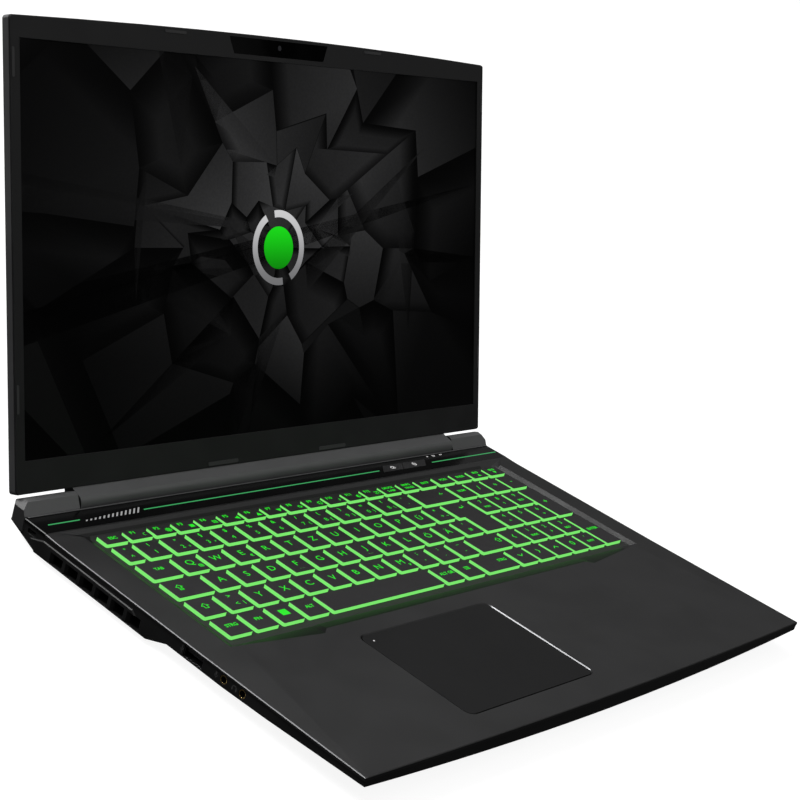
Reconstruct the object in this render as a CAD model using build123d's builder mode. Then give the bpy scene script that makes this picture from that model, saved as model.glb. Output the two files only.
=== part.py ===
"""A 17-inch laptop computer, standing open on its feet.

Millimetres, +Z up, +Y towards the back of the base. The origin is at the bottom centre of the whole
object's box, with the lid open. Places on the base are given from the deck's front left corner
(x to the right, y to the back, z up from the deck), and places on the lid from the left end of the
lid's foot (u to the right, v up the lid, w out of the screen).
"""

from build123d import *
from math import cos, radians, sin
import os

os.makedirs("parts", exist_ok=True)

# Driving dimensions of the base
WIDTH = 396.0
BASE_DEPTH = 257.5
DECK_HEIGHT = 17.4
FOOT_HEIGHT = 1.4
FRONT_BOW = 3.3
WALL = 1.6
DECK_THICK = 1.87
DECK_DEPTH = 226.0
STRIP_DEPTH = 243.5
SIDE_SET_IN = 0.6
SIDE_CHAMFER = 0.4
BASE_BOTTOM = FOOT_HEIGHT - DECK_HEIGHT

# Driving dimensions of the hinge and the lid
HINGE_Y = 251.1
HINGE_Z = 0.45
PIN_RADIUS = 2.5
PIN_CLEARANCE = 0.05
CAP_WIDTH = 37.0
SPINE_GAP = 0.8
SPINE_RADIUS = 6.6
LID_TILT = 20.4
LID_FOOT_Y = 251.05
LID_THICK = 7.0
LID_LOW = 8.0
LID_CORNER = 251.6
LID_TOP = 254.8
LID_CHAMFER = 1.2
LID_ROUND = 2.0
LID_WALL = 1.4
BEZEL_THICK = 0.9
SCREEN = (6.15, 389.85, 25.4, 240.4)

# Driving dimensions of the keyboard and the touchpad
KEY_WIDTH = 15.3
KEY_DEPTH = 15.6
KEY_PITCH = 18.77
ROW_PITCH = 18.85
KEY_GAP = 3.4
KEY_RISE = 2.0
KEY_SUNK = 0.5
KEY_CLEARANCE = 0.35
KEYS_LEFT = 25.5
KEYS_FRONT = 112.7
MAIN_RIGHT = 298.4
PAD_LEFT = 301.7
PAD_PITCH = 17.7
FUNCTION_WIDTH = 14.8
FUNCTION_DEPTH = 9.0
FUNCTION_PITCH = 17.2
TOUCHPAD = (92.7, 198.7, 14.6, 89.1)
TOUCHPAD_SUNK = 0.25
TOUCHPAD_GAP = 0.3
TOUCHPAD_ROUND = 4.5
TOUCHPAD_RIM = 0.6

# The frame: the deck's front left corner, a side view, and the face of the open lid
tilt = radians(LID_TILT)
lid_back_y = LID_FOOT_Y + (LID_TOP - LID_CHAMFER) * sin(tilt) + LID_THICK * cos(tilt)
LEFT = -WIDTH / 2
FRONT = (FRONT_BOW - lid_back_y) / 2
deck = Plane((LEFT, FRONT, DECK_HEIGHT))
side = Plane((LEFT, FRONT, DECK_HEIGHT), x_dir=(0, 1, 0), z_dir=(1, 0, 0))
lid = Plane((LEFT, FRONT + LID_FOOT_Y, DECK_HEIGHT), x_dir=(1, 0, 0), z_dir=(0, -cos(tilt), sin(tilt)))
hinge_side = Plane((LEFT, FRONT + HINGE_Y, DECK_HEIGHT + HINGE_Z), x_dir=lid.y_dir, z_dir=(1, 0, 0))


def block(plane, across, along, through, mode=Mode.ADD):
    """A box on a plane, given by its low and high limit along each of the plane's directions."""
    with BuildSketch(plane.offset(through[0])) as outline:
        with Locations(((across[0] + across[1]) / 2, (along[0] + along[1]) / 2)):
            Rectangle(across[1] - across[0], along[1] - along[0])
    extrude(outline.sketch, amount=through[1] - through[0], mode=mode)


def prism(plane, points, through, mode=Mode.ADD):
    """A straight prism on a plane, from a closed outline of points."""
    with BuildSketch(plane.offset(through[0])) as outline:
        with BuildLine():
            Polyline(*points, close=True)
        make_face()
    extrude(outline.sketch, amount=through[1] - through[0], mode=mode)


def barrel(x_limits, radius, mode=Mode.ADD):
    """A round bar on the lid's hinge axis."""
    with BuildSketch(hinge_side.offset(x_limits[0])) as outline:
        Circle(radius)
    extrude(outline.sketch, amount=x_limits[1] - x_limits[0], mode=mode)


def socket(x_limits, z_limits, shell, tongue=None):
    """A metal socket in the base's rear wall: a box shell, open at the back, with an optional tongue."""
    low_y = BASE_DEPTH - SOCKET_DEPTH
    block(deck, x_limits, (low_y, BASE_DEPTH - SOCKET_SHY), z_limits)
    mouth_x = (x_limits[0] + shell, x_limits[1] - shell)
    mouth_z = (z_limits[0] + shell, z_limits[1] - shell)
    block(deck, mouth_x, (low_y + shell, BASE_DEPTH), mouth_z, mode=Mode.SUBTRACT)
    if tongue:
        middle = (z_limits[0] + z_limits[1]) / 2
        tongue_x = (mouth_x[0] + tongue, mouth_x[1] - tongue)
        tongue_z = (middle - tongue / 2, middle + tongue / 2)
        block(deck, tongue_x, (low_y, BASE_DEPTH - SOCKET_SHY - 1), tongue_z)


# ---------------------------------------------------------------- base housing

# Side view of the body's lower edge: y, the edge's z, and how far in the flat underside starts
SIDE_EDGES = [
    (-8, -4.2, 17),
    (30, -6.2, 15),
    (60, -7.8, 12.5),
    (90, -8.8, 11),
    (137, -8.8, 11),
    (146, -13.6, 3),
    (262, -13.6, 3),
]
# The front wall's lower edge dips from the corners to the middle, and the underside slopes down from it
FRONT_CORNER_Z = -5.0
FRONT_MIDDLE_Z = -9.5
FRONT_SLOPE = 0.46
FRONT_PAST = 10.0
REAR_CORNER = (4.0, 3.0)
CORNER_CUT = [(0, 230, -13.6), (0, 256, -5), (11, 257.5, -16)]
OVERSHOOT = 3.0
# A slanted wall keeps its thickness when it is moved in by more than that thickness
STEEP_PUSH = 1.6
SHALLOW_PUSH = 2.0


def side_undercut(inset):
    """What is cut away under the left side, pushed inwards by the wall's thickness."""
    shift = SIDE_SET_IN + STEEP_PUSH * inset
    with BuildPart() as cutter:
        for y, edge, run in SIDE_EDGES:
            slope = (edge - BASE_BOTTOM) / run
            with BuildSketch(Plane((LEFT, FRONT + y, DECK_HEIGHT), x_dir=(1, 0, 0), z_dir=(0, -1, 0))):
                with BuildLine():
                    Polyline(
                        (shift - OVERSHOOT, edge + OVERSHOOT * slope),
                        (shift + run + OVERSHOOT / slope, BASE_BOTTOM - OVERSHOOT),
                        (shift - OVERSHOOT, BASE_BOTTOM - OVERSHOOT),
                        close=True,
                    )
                make_face()
        loft(ruled=True)
    return cutter.part


def corner_plane(inset):
    """The slanting cut under the base's rear left corner, with its normal into the base."""
    low, high, rear = [deck.from_local_coords(Vector(*point)) for point in CORNER_CUT]
    normal = (rear - low).cross(high - low).normalized()
    return Plane(low + normal * inset, z_dir=normal)


def base_hull(inset, top):
    """The base's outer shape up to a height, or its inside when it is shrunk by a wall."""
    left = SIDE_SET_IN + inset
    right = WIDTH - left
    rear = BASE_DEPTH - inset
    undercut = side_undercut(inset)
    with BuildPart() as hull:
        with BuildSketch(deck.offset(BASE_BOTTOM + inset)):
            with BuildLine():
                ThreePointArc((left, inset), (WIDTH / 2, inset - FRONT_BOW + SIDE_SET_IN), (right, inset))
                Polyline((right, inset), (right, rear - REAR_CORNER[1]), (right - REAR_CORNER[0], rear),
                         (left + REAR_CORNER[0], rear), (left, rear - REAR_CORNER[1]), (left, inset))
            make_face()
        extrude(amount=top - BASE_BOTTOM - inset)
        start_y = FRONT + SHALLOW_PUSH * inset - FRONT_PAST
        corner_z = FRONT_CORNER_Z + FRONT_SLOPE * FRONT_PAST
        middle_z = FRONT_MIDDLE_Z + FRONT_SLOPE * (FRONT_PAST - FRONT_BOW + SIDE_SET_IN)
        low_z = 3 * BASE_BOTTOM
        with BuildSketch(Plane((LEFT, start_y, DECK_HEIGHT), x_dir=(1, 0, 0), z_dir=(0, -1, 0))) as front_cut:
            with BuildLine():
                ThreePointArc((-1, corner_z), (WIDTH / 2, middle_z), (WIDTH + 1, corner_z))
                Polyline((WIDTH + 1, corner_z), (WIDTH + 1, low_z), (-1, low_z), (-1, corner_z))
            make_face()
        extrude(front_cut.sketch, amount=6 * FRONT_PAST, dir=(0, 1, -FRONT_SLOPE), mode=Mode.SUBTRACT)
        add(undercut, mode=Mode.SUBTRACT)
        mirror(undercut, about=Plane.YZ, mode=Mode.SUBTRACT)
        cut = corner_plane(inset)
        split(bisect_by=cut, keep=Keep.TOP)
        place, normal = cut.origin, cut.z_dir
        mirrored = Plane((-place.X, place.Y, place.Z), z_dir=(-normal.X, normal.Y, normal.Z))
        split(bisect_by=mirrored, keep=Keep.TOP)
    return hull.part


# The trough that the hinge spine turns in, and the sloping seats of the hinge caps, as side views
TROUGH_Z = -6.6
REAR_PAST = 262.0
ABOVE = 2.0
TROUGH = [(STRIP_DEPTH, TROUGH_Z), (REAR_PAST, TROUGH_Z), (REAR_PAST, ABOVE), (STRIP_DEPTH, ABOVE)]
CAP_SEAT = [(STRIP_DEPTH, -8.0), (REAR_PAST, -3.9), (REAR_PAST, ABOVE), (STRIP_DEPTH, ABOVE)]
ZONE_EDGE = CAP_WIDTH + 0.4
CAP_ZONES = [(-1, ZONE_EDGE), (WIDTH - ZONE_EDGE, WIDTH + 1)]
SPINE_ZONE = (ZONE_EDGE, WIDTH - ZONE_EDGE)

# Side vents: a slightly raised panel with slots between ribs that narrow outwards
VENT_PANEL = [(146.5, -13.4), (149, -9.5), (156, -5.2), (226, -4.9), (236, -8.0), (232, -13.4)]
VENT_FOOT = [(145.8, -13.4), (148.3, -9.0), (155.6, -4.5), (227, -4.2), (237.5, -7.8), (233, -13.4)]
VENT_SLOTS = 6
VENT_FIRST_Y = 153.3
VENT_PITCH = 12.2
VENT_SLOT = (7.0, 6.2)
VENT_FLARE = 1.5
VENT_SLOT_Z = -9.9

# Sockets: places and sizes
SOCKET_DEPTH = 17.0
SOCKET_SHY = 0.3
USB_A = (13.1, 5.7)
USB_A_DEEP = 14.0
USB_SHELL = 0.4
USB_TONGUE_SHY = 1.2
USB_Z = -5.35
USB_LEFT_Y = 110.9
USB_RIGHT_Y = (98.0, 116.5)
SOCKET_SLACK = 0.2
JACK_Y = (77.2, 90.0)
JACK_Z = -5.0
JACK_RADIUS = 1.8
JACK_BARREL = 2.15
JACK_DEEP = 14.0
CARD_Y = 70.0
CARD_SLOT = (25.0, 2.6)
READER_X = (WIDTH - 18.0, WIDTH - 3.4)
READER_MOUTH = (12.2, 1.2)
LOCK_Y = 236.8
LOCK_Z = -5.1
LOCK_SLOT = (6.6, 2.6)
NETWORK_X = (122.0, 138.0)
NETWORK_Z = (-15.2, -7.2)
MINI_VIDEO_X = [(150.0, 159.0), (167.0, 176.0)]
VIDEO_X = (186.0, 201.0)
VIDEO_Z = (-14.3, -8.7)
USB_C_X = (213.0, 223.0)
USB_C_Z = (-13.6, -9.6)
POWER_X = (246.0, 257.0)
POWER_Z = (-15.2, -7.2)
POWER_RADIUS = 3.1
POWER_PIN = 0.85

# Bottom: feet, screws and grilles
FOOT_SIZE = (96.0, 9.0)
FOOT_ROUND = 4.0
FOOT_X = (82.0, WIDTH - 82.0)
FOOT_Y = (38.0, 222.0)
FOOT_POCKET = 0.4
SCREW_PLACES = [(30, 60), (198, 32), (366, 60), (14, 143), (382, 143), (105, 143), (291, 143),
                (18, 238), (378, 238)]
SCREW_HEAD = (2.4, 0.8)
SCREW_SHANK = (1.25, 9.0)
BOSS_RADIUS = 3.0
BOSS_HEIGHT = 9.2
FAN_CENTRES = [(64.0, 186.0), (WIDTH - 64.0, 186.0)]
GRILLE_SLOT = (13.0, 2.2)
GRILLE_GRID = (5.0, 17.0, 12, 3)
SPEAKER_X = (44.0, WIDTH - 44.0)
SPEAKER_Y = 40.0
SPEAKER_SLOT = (10.0, 1.6)
SPEAKER_GRID = (3.6, 0, 8, 1)

# Exhaust slots in the rear wall
EXHAUST_X = (68.0, WIDTH - 68.0)
EXHAUST_DROP = 11.4
EXHAUST_SLOT = (5.2, 3.2)
EXHAUST_GRID = (5.4, 0, 16, 1)

with BuildPart() as vent_panel:
    with BuildSketch(side):
        with BuildLine():
            Polyline(*VENT_PANEL, close=True)
        make_face()
    with BuildSketch(side.offset(SIDE_SET_IN + 0.2)):
        with BuildLine():
            Polyline(*VENT_FOOT, close=True)
        make_face()
    loft(ruled=True)

with BuildPart() as vent_slots:
    for slot in range(VENT_SLOTS):
        y = VENT_FIRST_Y + slot * VENT_PITCH
        half = VENT_SLOT[0] / 2
        slot_z = (VENT_SLOT_Z - VENT_SLOT[1] / 2, VENT_SLOT_Z + VENT_SLOT[1] / 2)
        block(side, (y - half, y + half), slot_z, (-1, 4))
        # the slot opens outwards along the base
        with BuildSketch(Plane((LEFT, FRONT, DECK_HEIGHT + slot_z[0]))):
            with BuildLine():
                Polyline((0, y - half - VENT_FLARE), (VENT_FLARE, y - half), (VENT_FLARE, y + half),
                         (0, y + half + VENT_FLARE), close=True)
            make_face()
        extrude(amount=VENT_SLOT[1])

outer_hull = base_hull(0, -DECK_THICK)
inner_hull = base_hull(WALL, 0)

with BuildPart() as cavity:
    add(inner_hull)
    roof = TROUGH_Z - WALL
    front = STRIP_DEPTH - WALL
    prism(side, [(front, roof), (REAR_PAST, roof), (REAR_PAST, ABOVE), (front, ABOVE)], (0, WIDTH),
          mode=Mode.SUBTRACT)
    seat_front, seat_rear = CAP_SEAT[0][1] - WALL, CAP_SEAT[1][1] - WALL
    for zone in CAP_ZONES:
        seat_wall = [(front, seat_front), (STRIP_DEPTH, seat_front), (REAR_PAST, seat_rear),
                     (REAR_PAST, ABOVE), (front, ABOVE)]
        prism(side, seat_wall, zone, mode=Mode.SUBTRACT)

with BuildPart() as bottom_cover:
    add(outer_hull)
    prism(side, TROUGH, SPINE_ZONE, mode=Mode.SUBTRACT)
    for zone in CAP_ZONES:
        prism(side, CAP_SEAT, zone, mode=Mode.SUBTRACT)
    add(cavity.part, mode=Mode.SUBTRACT)
    add(vent_panel.part)
    mirror(vent_panel.part, about=Plane.YZ)
    add(vent_slots.part, mode=Mode.SUBTRACT)
    mirror(vent_slots.part, about=Plane.YZ, mode=Mode.SUBTRACT)
    # side wall openings for the sockets, the card slot and the lock slot
    left_wall = (-1, 4)
    right_wall = (WIDTH - 4, WIDTH + 1)
    usb_half = USB_A[0] / 2 + SOCKET_SLACK
    usb_z = (USB_Z - USB_A[1] / 2 - SOCKET_SLACK, USB_Z + USB_A[1] / 2 + SOCKET_SLACK)
    block(side, (USB_LEFT_Y - usb_half, USB_LEFT_Y + usb_half), usb_z, left_wall, mode=Mode.SUBTRACT)
    for y in USB_RIGHT_Y:
        block(side, (y - usb_half, y + usb_half), usb_z, right_wall, mode=Mode.SUBTRACT)
    card_y = (CARD_Y - CARD_SLOT[0] / 2, CARD_Y + CARD_SLOT[0] / 2)
    block(side, card_y, (USB_Z - CARD_SLOT[1] / 2, USB_Z + CARD_SLOT[1] / 2), right_wall, mode=Mode.SUBTRACT)
    lock_y = (LOCK_Y - LOCK_SLOT[0] / 2, LOCK_Y + LOCK_SLOT[0] / 2)
    block(side, lock_y, (LOCK_Z - LOCK_SLOT[1] / 2, LOCK_Z + LOCK_SLOT[1] / 2), (-1, 2.5), mode=Mode.SUBTRACT)
    with BuildSketch(side.offset(-1)):
        with Locations(*[(y, JACK_Z) for y in JACK_Y]):
            Circle(JACK_BARREL + 0.05)
    extrude(amount=4, mode=Mode.SUBTRACT)
    # rear wall openings for the sockets, and the exhaust slots
    for x_limits, z_limits in [(NETWORK_X, NETWORK_Z), (MINI_VIDEO_X[0], VIDEO_Z), (MINI_VIDEO_X[1], VIDEO_Z),
                               (VIDEO_X, VIDEO_Z), (USB_C_X, USB_C_Z), (POWER_X, POWER_Z)]:
        grown_x = (x_limits[0] - 0.1, x_limits[1] + 0.1)
        grown_z = (z_limits[0] - 0.1, z_limits[1] + 0.1)
        block(deck, grown_x, (BASE_DEPTH - SOCKET_DEPTH - 0.1, BASE_DEPTH + 1), grown_z, mode=Mode.SUBTRACT)
    exhaust = Plane((LEFT, FRONT + BASE_DEPTH - 4, DECK_HEIGHT), x_dir=(1, 0, 0), z_dir=(0, 1, 0))
    with BuildSketch(exhaust):
        for x in EXHAUST_X:
            with Locations((x, EXHAUST_DROP)):
                with GridLocations(*EXHAUST_GRID):
                    SlotOverall(*EXHAUST_SLOT, rotation=90)
    extrude(amount=6, mode=Mode.SUBTRACT)
    # fan grilles and speaker grilles in the floor
    with BuildSketch(deck.offset(BASE_BOTTOM - 1)):
        for centre in FAN_CENTRES:
            with Locations(centre):
                with GridLocations(*GRILLE_GRID):
                    SlotOverall(*GRILLE_SLOT, rotation=90)
        for x in SPEAKER_X:
            with Locations((x, SPEAKER_Y)):
                with GridLocations(*SPEAKER_GRID):
                    SlotOverall(*SPEAKER_SLOT, rotation=90)
    extrude(amount=4, mode=Mode.SUBTRACT)
    # bosses with screw holes and sunk heads
    with BuildSketch(deck.offset(BASE_BOTTOM + 1)):
        with Locations(*SCREW_PLACES):
            Circle(BOSS_RADIUS)
    extrude(amount=BOSS_HEIGHT)
    with BuildSketch(deck.offset(BASE_BOTTOM)):
        with Locations(*SCREW_PLACES):
            Circle(SCREW_SHANK[0] + 0.1)
    extrude(amount=SCREW_HEAD[1] + SCREW_SHANK[1] + 0.2, mode=Mode.SUBTRACT)
    with BuildSketch(deck.offset(BASE_BOTTOM)):
        with Locations(*SCREW_PLACES):
            Circle(SCREW_HEAD[0] + 0.3)
    extrude(amount=SCREW_HEAD[1] + 0.2, mode=Mode.SUBTRACT)
    # shallow pockets for the feet
    with BuildSketch(deck.offset(BASE_BOTTOM)):
        with Locations(*[(x, y) for x in FOOT_X for y in FOOT_Y]):
            RectangleRounded(*FOOT_SIZE, FOOT_ROUND)
    extrude(amount=FOOT_POCKET, mode=Mode.SUBTRACT)

bottom_cover.part.label = "bottom_cover"
export_step(bottom_cover.part, "parts/bottom_cover.step")

with BuildPart() as rubber_feet:
    with BuildSketch(deck.offset(BASE_BOTTOM - FOOT_HEIGHT)):
        with Locations(*[(x, y) for x in FOOT_X for y in FOOT_Y]):
            RectangleRounded(*FOOT_SIZE, FOOT_ROUND)
    extrude(amount=FOOT_HEIGHT + FOOT_POCKET)
    chamfer(rubber_feet.faces().group_by(Axis.Z)[0].edges(), 0.5)

rubber_feet.part.label = "rubber_feet"
export_step(rubber_feet.part, "parts/rubber_feet.step")

with BuildPart() as bottom_screws:
    with BuildSketch(deck.offset(BASE_BOTTOM + 0.2)):
        with Locations(*SCREW_PLACES):
            Circle(SCREW_HEAD[0])
    extrude(amount=SCREW_HEAD[1])
    with BuildSketch(deck.offset(BASE_BOTTOM + 0.2 + SCREW_HEAD[1])):
        with Locations(*SCREW_PLACES):
            Circle(SCREW_SHANK[0])
    extrude(amount=SCREW_SHANK[1] - 0.5)
    with BuildSketch(deck.offset(BASE_BOTTOM + 0.2)):
        with Locations(*SCREW_PLACES):
            Rectangle(2.6, 0.6)
            Rectangle(0.6, 2.6)
    extrude(amount=0.5, mode=Mode.SUBTRACT)

bottom_screws.part.label = "bottom_screws"
export_step(bottom_screws.part, "parts/bottom_screws.step")

# ---------------------------------------------------------------- keyboard layout

# Row 0 is the function row, row 5 the one with the space bar; each key is x, y, width, depth
ROW_Y = [KEYS_FRONT + (5 - row) * ROW_PITCH for row in range(6)]
TALL_DEPTH = KEY_DEPTH + ROW_PITCH
NUMBERS_LEFT = 39.5
LETTERS_LEFT = 49.2
HOME_LEFT = 53.9
LOWER_LEFT = 44.8
ARROW_LEFT = PAD_LEFT - 2 * PAD_PITCH
SPACE_LEFT = KEYS_LEFT + 4 * KEY_PITCH - 0.3
SPACE_RIGHT = SPACE_LEFT + 91.6
BACKSPACE_LEFT = NUMBERS_LEFT + 12 * KEY_PITCH
RIGHT_SHIFT_LEFT = LOWER_LEFT + 11 * KEY_PITCH
RIGHT_CONTROL_LEFT = SPACE_RIGHT + KEY_GAP + 2 * KEY_PITCH + 0.3
ENTER_TOP_LEFT = LETTERS_LEFT + 12 * KEY_PITCH
ENTER_LOW_LEFT = HOME_LEFT + 12 * KEY_PITCH


def key_row(left, row, count, pitch=KEY_PITCH, width=KEY_WIDTH, depth=KEY_DEPTH):
    """Equal keys side by side in one row."""
    return [(left + place * pitch, ROW_Y[row], width, depth) for place in range(count)]


def wide_key(left, right, row):
    """One key between two limits in one row."""
    return [(left, ROW_Y[row], right - left, KEY_DEPTH)]


KEY_GROUPS = {
    "keys_function_row": key_row(KEYS_LEFT, 0, 16, FUNCTION_PITCH, FUNCTION_WIDTH, FUNCTION_DEPTH)
    + key_row(PAD_LEFT, 0, 4, PAD_PITCH, KEY_WIDTH, FUNCTION_DEPTH),
    "keys_number_row": wide_key(KEYS_LEFT, NUMBERS_LEFT - KEY_GAP, 1) + key_row(NUMBERS_LEFT, 1, 12),
    "key_backspace": wide_key(BACKSPACE_LEFT, MAIN_RIGHT, 1),
    "key_tab": wide_key(KEYS_LEFT, LETTERS_LEFT - KEY_GAP, 2),
    "keys_upper_letters": key_row(LETTERS_LEFT, 2, 12),
    "key_caps_lock": wide_key(KEYS_LEFT, HOME_LEFT - KEY_GAP, 3),
    "keys_home_letters": key_row(HOME_LEFT, 3, 12),
    "keys_shift": key_row(KEYS_LEFT, 4, 1) + wide_key(RIGHT_SHIFT_LEFT, ARROW_LEFT + PAD_PITCH - KEY_GAP, 4),
    "keys_lower_letters": key_row(LOWER_LEFT, 4, 11),
    "keys_modifiers": key_row(KEYS_LEFT, 5, 4) + key_row(SPACE_RIGHT + KEY_GAP, 5, 2)
    + wide_key(RIGHT_CONTROL_LEFT, ARROW_LEFT - KEY_GAP, 5),
    "key_space": wide_key(SPACE_LEFT, SPACE_RIGHT, 5),
    "keys_arrows": key_row(ARROW_LEFT, 5, 3, PAD_PITCH) + key_row(ARROW_LEFT + PAD_PITCH, 4, 1),
    "keys_numpad": key_row(PAD_LEFT, 1, 4, PAD_PITCH) + key_row(PAD_LEFT, 2, 3, PAD_PITCH)
    + key_row(PAD_LEFT, 3, 3, PAD_PITCH) + key_row(PAD_LEFT, 4, 3, PAD_PITCH)
    + key_row(PAD_LEFT + PAD_PITCH, 5, 2, PAD_PITCH),
    "keys_numpad_tall": key_row(PAD_LEFT + 3 * PAD_PITCH, 3, 1, depth=TALL_DEPTH)
    + key_row(PAD_LEFT + 3 * PAD_PITCH, 5, 1, depth=TALL_DEPTH),
}
ENTER_TOP_Y = ROW_Y[2] + KEY_DEPTH
ENTER_STEP_Y = ROW_Y[2] - 0.5
ENTER_OUTLINE = [(ENTER_TOP_LEFT, ENTER_STEP_Y), (ENTER_LOW_LEFT, ENTER_STEP_Y), (ENTER_LOW_LEFT, ROW_Y[3]),
                 (MAIN_RIGHT, ROW_Y[3]), (MAIN_RIGHT, ENTER_TOP_Y), (ENTER_TOP_LEFT, ENTER_TOP_Y)]

# ---------------------------------------------------------------- deck, strip and keyboard

RECESS_TOP = [(18.2, 105.5), (77.5, 97.8), (82, 101.2), (314, 101.2), (318.5, 97.8), (377.8, 105.5),
              (377.8, 217), (388, 224.8), (8, 224.8), (18.2, 217)]
RECESS_FLOOR = [(22.5, 108), (79, 107.6), (83.5, 108), (312.5, 108), (317, 107.6), (373.5, 108),
                (373.5, 216.6), (371, 220), (25, 220), (22.5, 216.6)]
# Side facets: y, where the facet's crease is, and how far the deck's edge drops
FACETS = [(-6, 1.0, 0.04), (105, 24.0, 0.7), (217, 16.0, 0.55), (228, 2.0, 0.04)]

with BuildPart() as recess:
    with BuildSketch(deck.offset(0.01)):
        with BuildLine():
            Polyline(*RECESS_TOP, close=True)
        make_face()
    with BuildSketch(deck.offset(-DECK_THICK - 0.01)):
        with BuildLine():
            Polyline(*RECESS_FLOOR, close=True)
        make_face()
    loft(ruled=True)

with BuildPart() as side_facet:
    for y, crease, drop in FACETS:
        edge_z = -drop * (crease - SIDE_CHAMFER) / crease
        with BuildSketch(Plane((LEFT, FRONT + y, DECK_HEIGHT), x_dir=(1, 0, 0), z_dir=(0, -1, 0))):
            with BuildLine():
                Polyline((crease, 0), (SIDE_CHAMFER, edge_z), (-ABOVE, edge_z - SIDE_CHAMFER - ABOVE),
                         (-ABOVE, ABOVE), (crease, ABOVE), close=True)
            make_face()
    loft(ruled=True)

with BuildPart() as palmrest_deck:
    with BuildSketch(deck.offset(-DECK_THICK)):
        with BuildLine():
            ThreePointArc((0, 0), (WIDTH / 2, -FRONT_BOW), (WIDTH, 0))
            Polyline((WIDTH, 0), (WIDTH, DECK_DEPTH), (0, DECK_DEPTH), (0, 0))
        make_face()
    extrude(amount=DECK_THICK)
    chamfer(palmrest_deck.edges().filter_by(GeomType.CIRCLE).group_by(Axis.Z)[-1], SIDE_CHAMFER)
    add(side_facet.part, mode=Mode.SUBTRACT)
    mirror(side_facet.part, about=Plane.YZ, mode=Mode.SUBTRACT)
    add(recess.part, mode=Mode.SUBTRACT)
    with BuildSketch(deck.offset(-DECK_THICK)):
        pad_centre = ((TOUCHPAD[0] + TOUCHPAD[1]) / 2, (TOUCHPAD[2] + TOUCHPAD[3]) / 2)
        with Locations(pad_centre):
            RectangleRounded(TOUCHPAD[1] - TOUCHPAD[0], TOUCHPAD[3] - TOUCHPAD[2], TOUCHPAD_ROUND)
    extrude(amount=DECK_THICK, mode=Mode.SUBTRACT)
    # the hole's upper rim is bevelled
    top_edges = palmrest_deck.edges().filter_by_position(Axis.Z, DECK_HEIGHT - 0.01, DECK_HEIGHT + 0.01)
    rim = top_edges.filter_by_position(Axis.X, LEFT + TOUCHPAD[0] - 1, LEFT + TOUCHPAD[1] + 1)
    rim = rim.filter_by_position(Axis.Y, FRONT + TOUCHPAD[2] - 1, FRONT + TOUCHPAD[3] + 1)
    chamfer(rim, TOUCHPAD_RIM)

palmrest_deck.part.label = "palmrest_deck"
export_step(palmrest_deck.part, "parts/palmrest_deck.step")

# Width and height of the lip along the strip's rear edge
LIP = (0.7, 0.2)
LIGHT_Y = 233.8
LIGHT_WIDTH = 0.95
LIGHT_SLANT = 0.6
LIGHT_BARS = [(7.2, 28.4), (73.4, 271.4), (324.2, 393.2)]
BUTTON_FRONT = 231.4
BUTTON_REAR = 238.7
BUTTON_LEAN = 6.8
BUTTON_SPANS = {"mode_button": (273.4, 292.6), "power_button": (293.0, 315.6)}
BUTTON_GAP = 0.25
BUTTON_FLANGE = 0.5


def leaning_bar(x_limits, y_limits, lean, grow=0.0):
    """The outline of a slanted bar: x limits at its front edge, and its lean towards the right."""
    return [(x_limits[0] - grow, y_limits[0] - grow), (x_limits[1] + grow, y_limits[0] - grow),
            (x_limits[1] + lean + grow, y_limits[1] + grow), (x_limits[0] + lean - grow, y_limits[1] + grow)]


with BuildPart() as status_strip:
    block(deck, (0, WIDTH), (DECK_DEPTH, STRIP_DEPTH), (-DECK_THICK, 0))
    chamfer(status_strip.edges().filter_by(Axis.Y).group_by(Axis.Z)[-1], SIDE_CHAMFER)
    block(deck, (CAP_WIDTH, WIDTH - CAP_WIDTH), (STRIP_DEPTH - LIP[0], STRIP_DEPTH), (0, LIP[1]))
    for bar in LIGHT_BARS:
        slot = leaning_bar(bar, (LIGHT_Y - LIGHT_WIDTH / 2, LIGHT_Y + LIGHT_WIDTH / 2), LIGHT_SLANT)
        prism(deck, slot, (-1.0, 1.0), mode=Mode.SUBTRACT)
    for span in BUTTON_SPANS.values():
        hole = leaning_bar(span, (BUTTON_FRONT, BUTTON_REAR), BUTTON_LEAN, BUTTON_GAP)
        prism(deck, hole, (-DECK_THICK, 1), mode=Mode.SUBTRACT)

status_strip.part.label = "status_strip"
export_step(status_strip.part, "parts/status_strip.step")

with BuildPart() as strip_light_guides:
    for bar in LIGHT_BARS:
        guide = leaning_bar(bar, (LIGHT_Y - LIGHT_WIDTH / 2, LIGHT_Y + LIGHT_WIDTH / 2), LIGHT_SLANT)
        prism(deck, guide, (-1.0, 0.05))

strip_light_guides.part.label = "strip_light_guides"
export_step(strip_light_guides.part, "parts/strip_light_guides.step")

for button_name, span in BUTTON_SPANS.items():
    with BuildPart() as button:
        y_limits = (BUTTON_FRONT, BUTTON_REAR)
        prism(deck, leaning_bar(span, y_limits, BUTTON_LEAN), (-2.6, 0.1))
        # the two flanges pass under the strip without meeting each other
        flange = leaning_bar(span, (BUTTON_FRONT - BUTTON_FLANGE, BUTTON_REAR + BUTTON_FLANGE), BUTTON_LEAN)
        prism(deck, flange, (-3.0, -2.1))
    button.part.label = button_name
    export_step(button.part, f"parts/{button_name}.step")

FRAME_THICK = 0.6
PLATE_TOP = -5.0
PLATE_THICK = 0.6
DOME_SHEET = 0.3
DOME_RISE = 0.5
DOME_RADIUS = 2.8
KEY_ROUND = 0.8
KEY_CHAMFER = 0.2
FRAME_EDGE = 2.0

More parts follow.
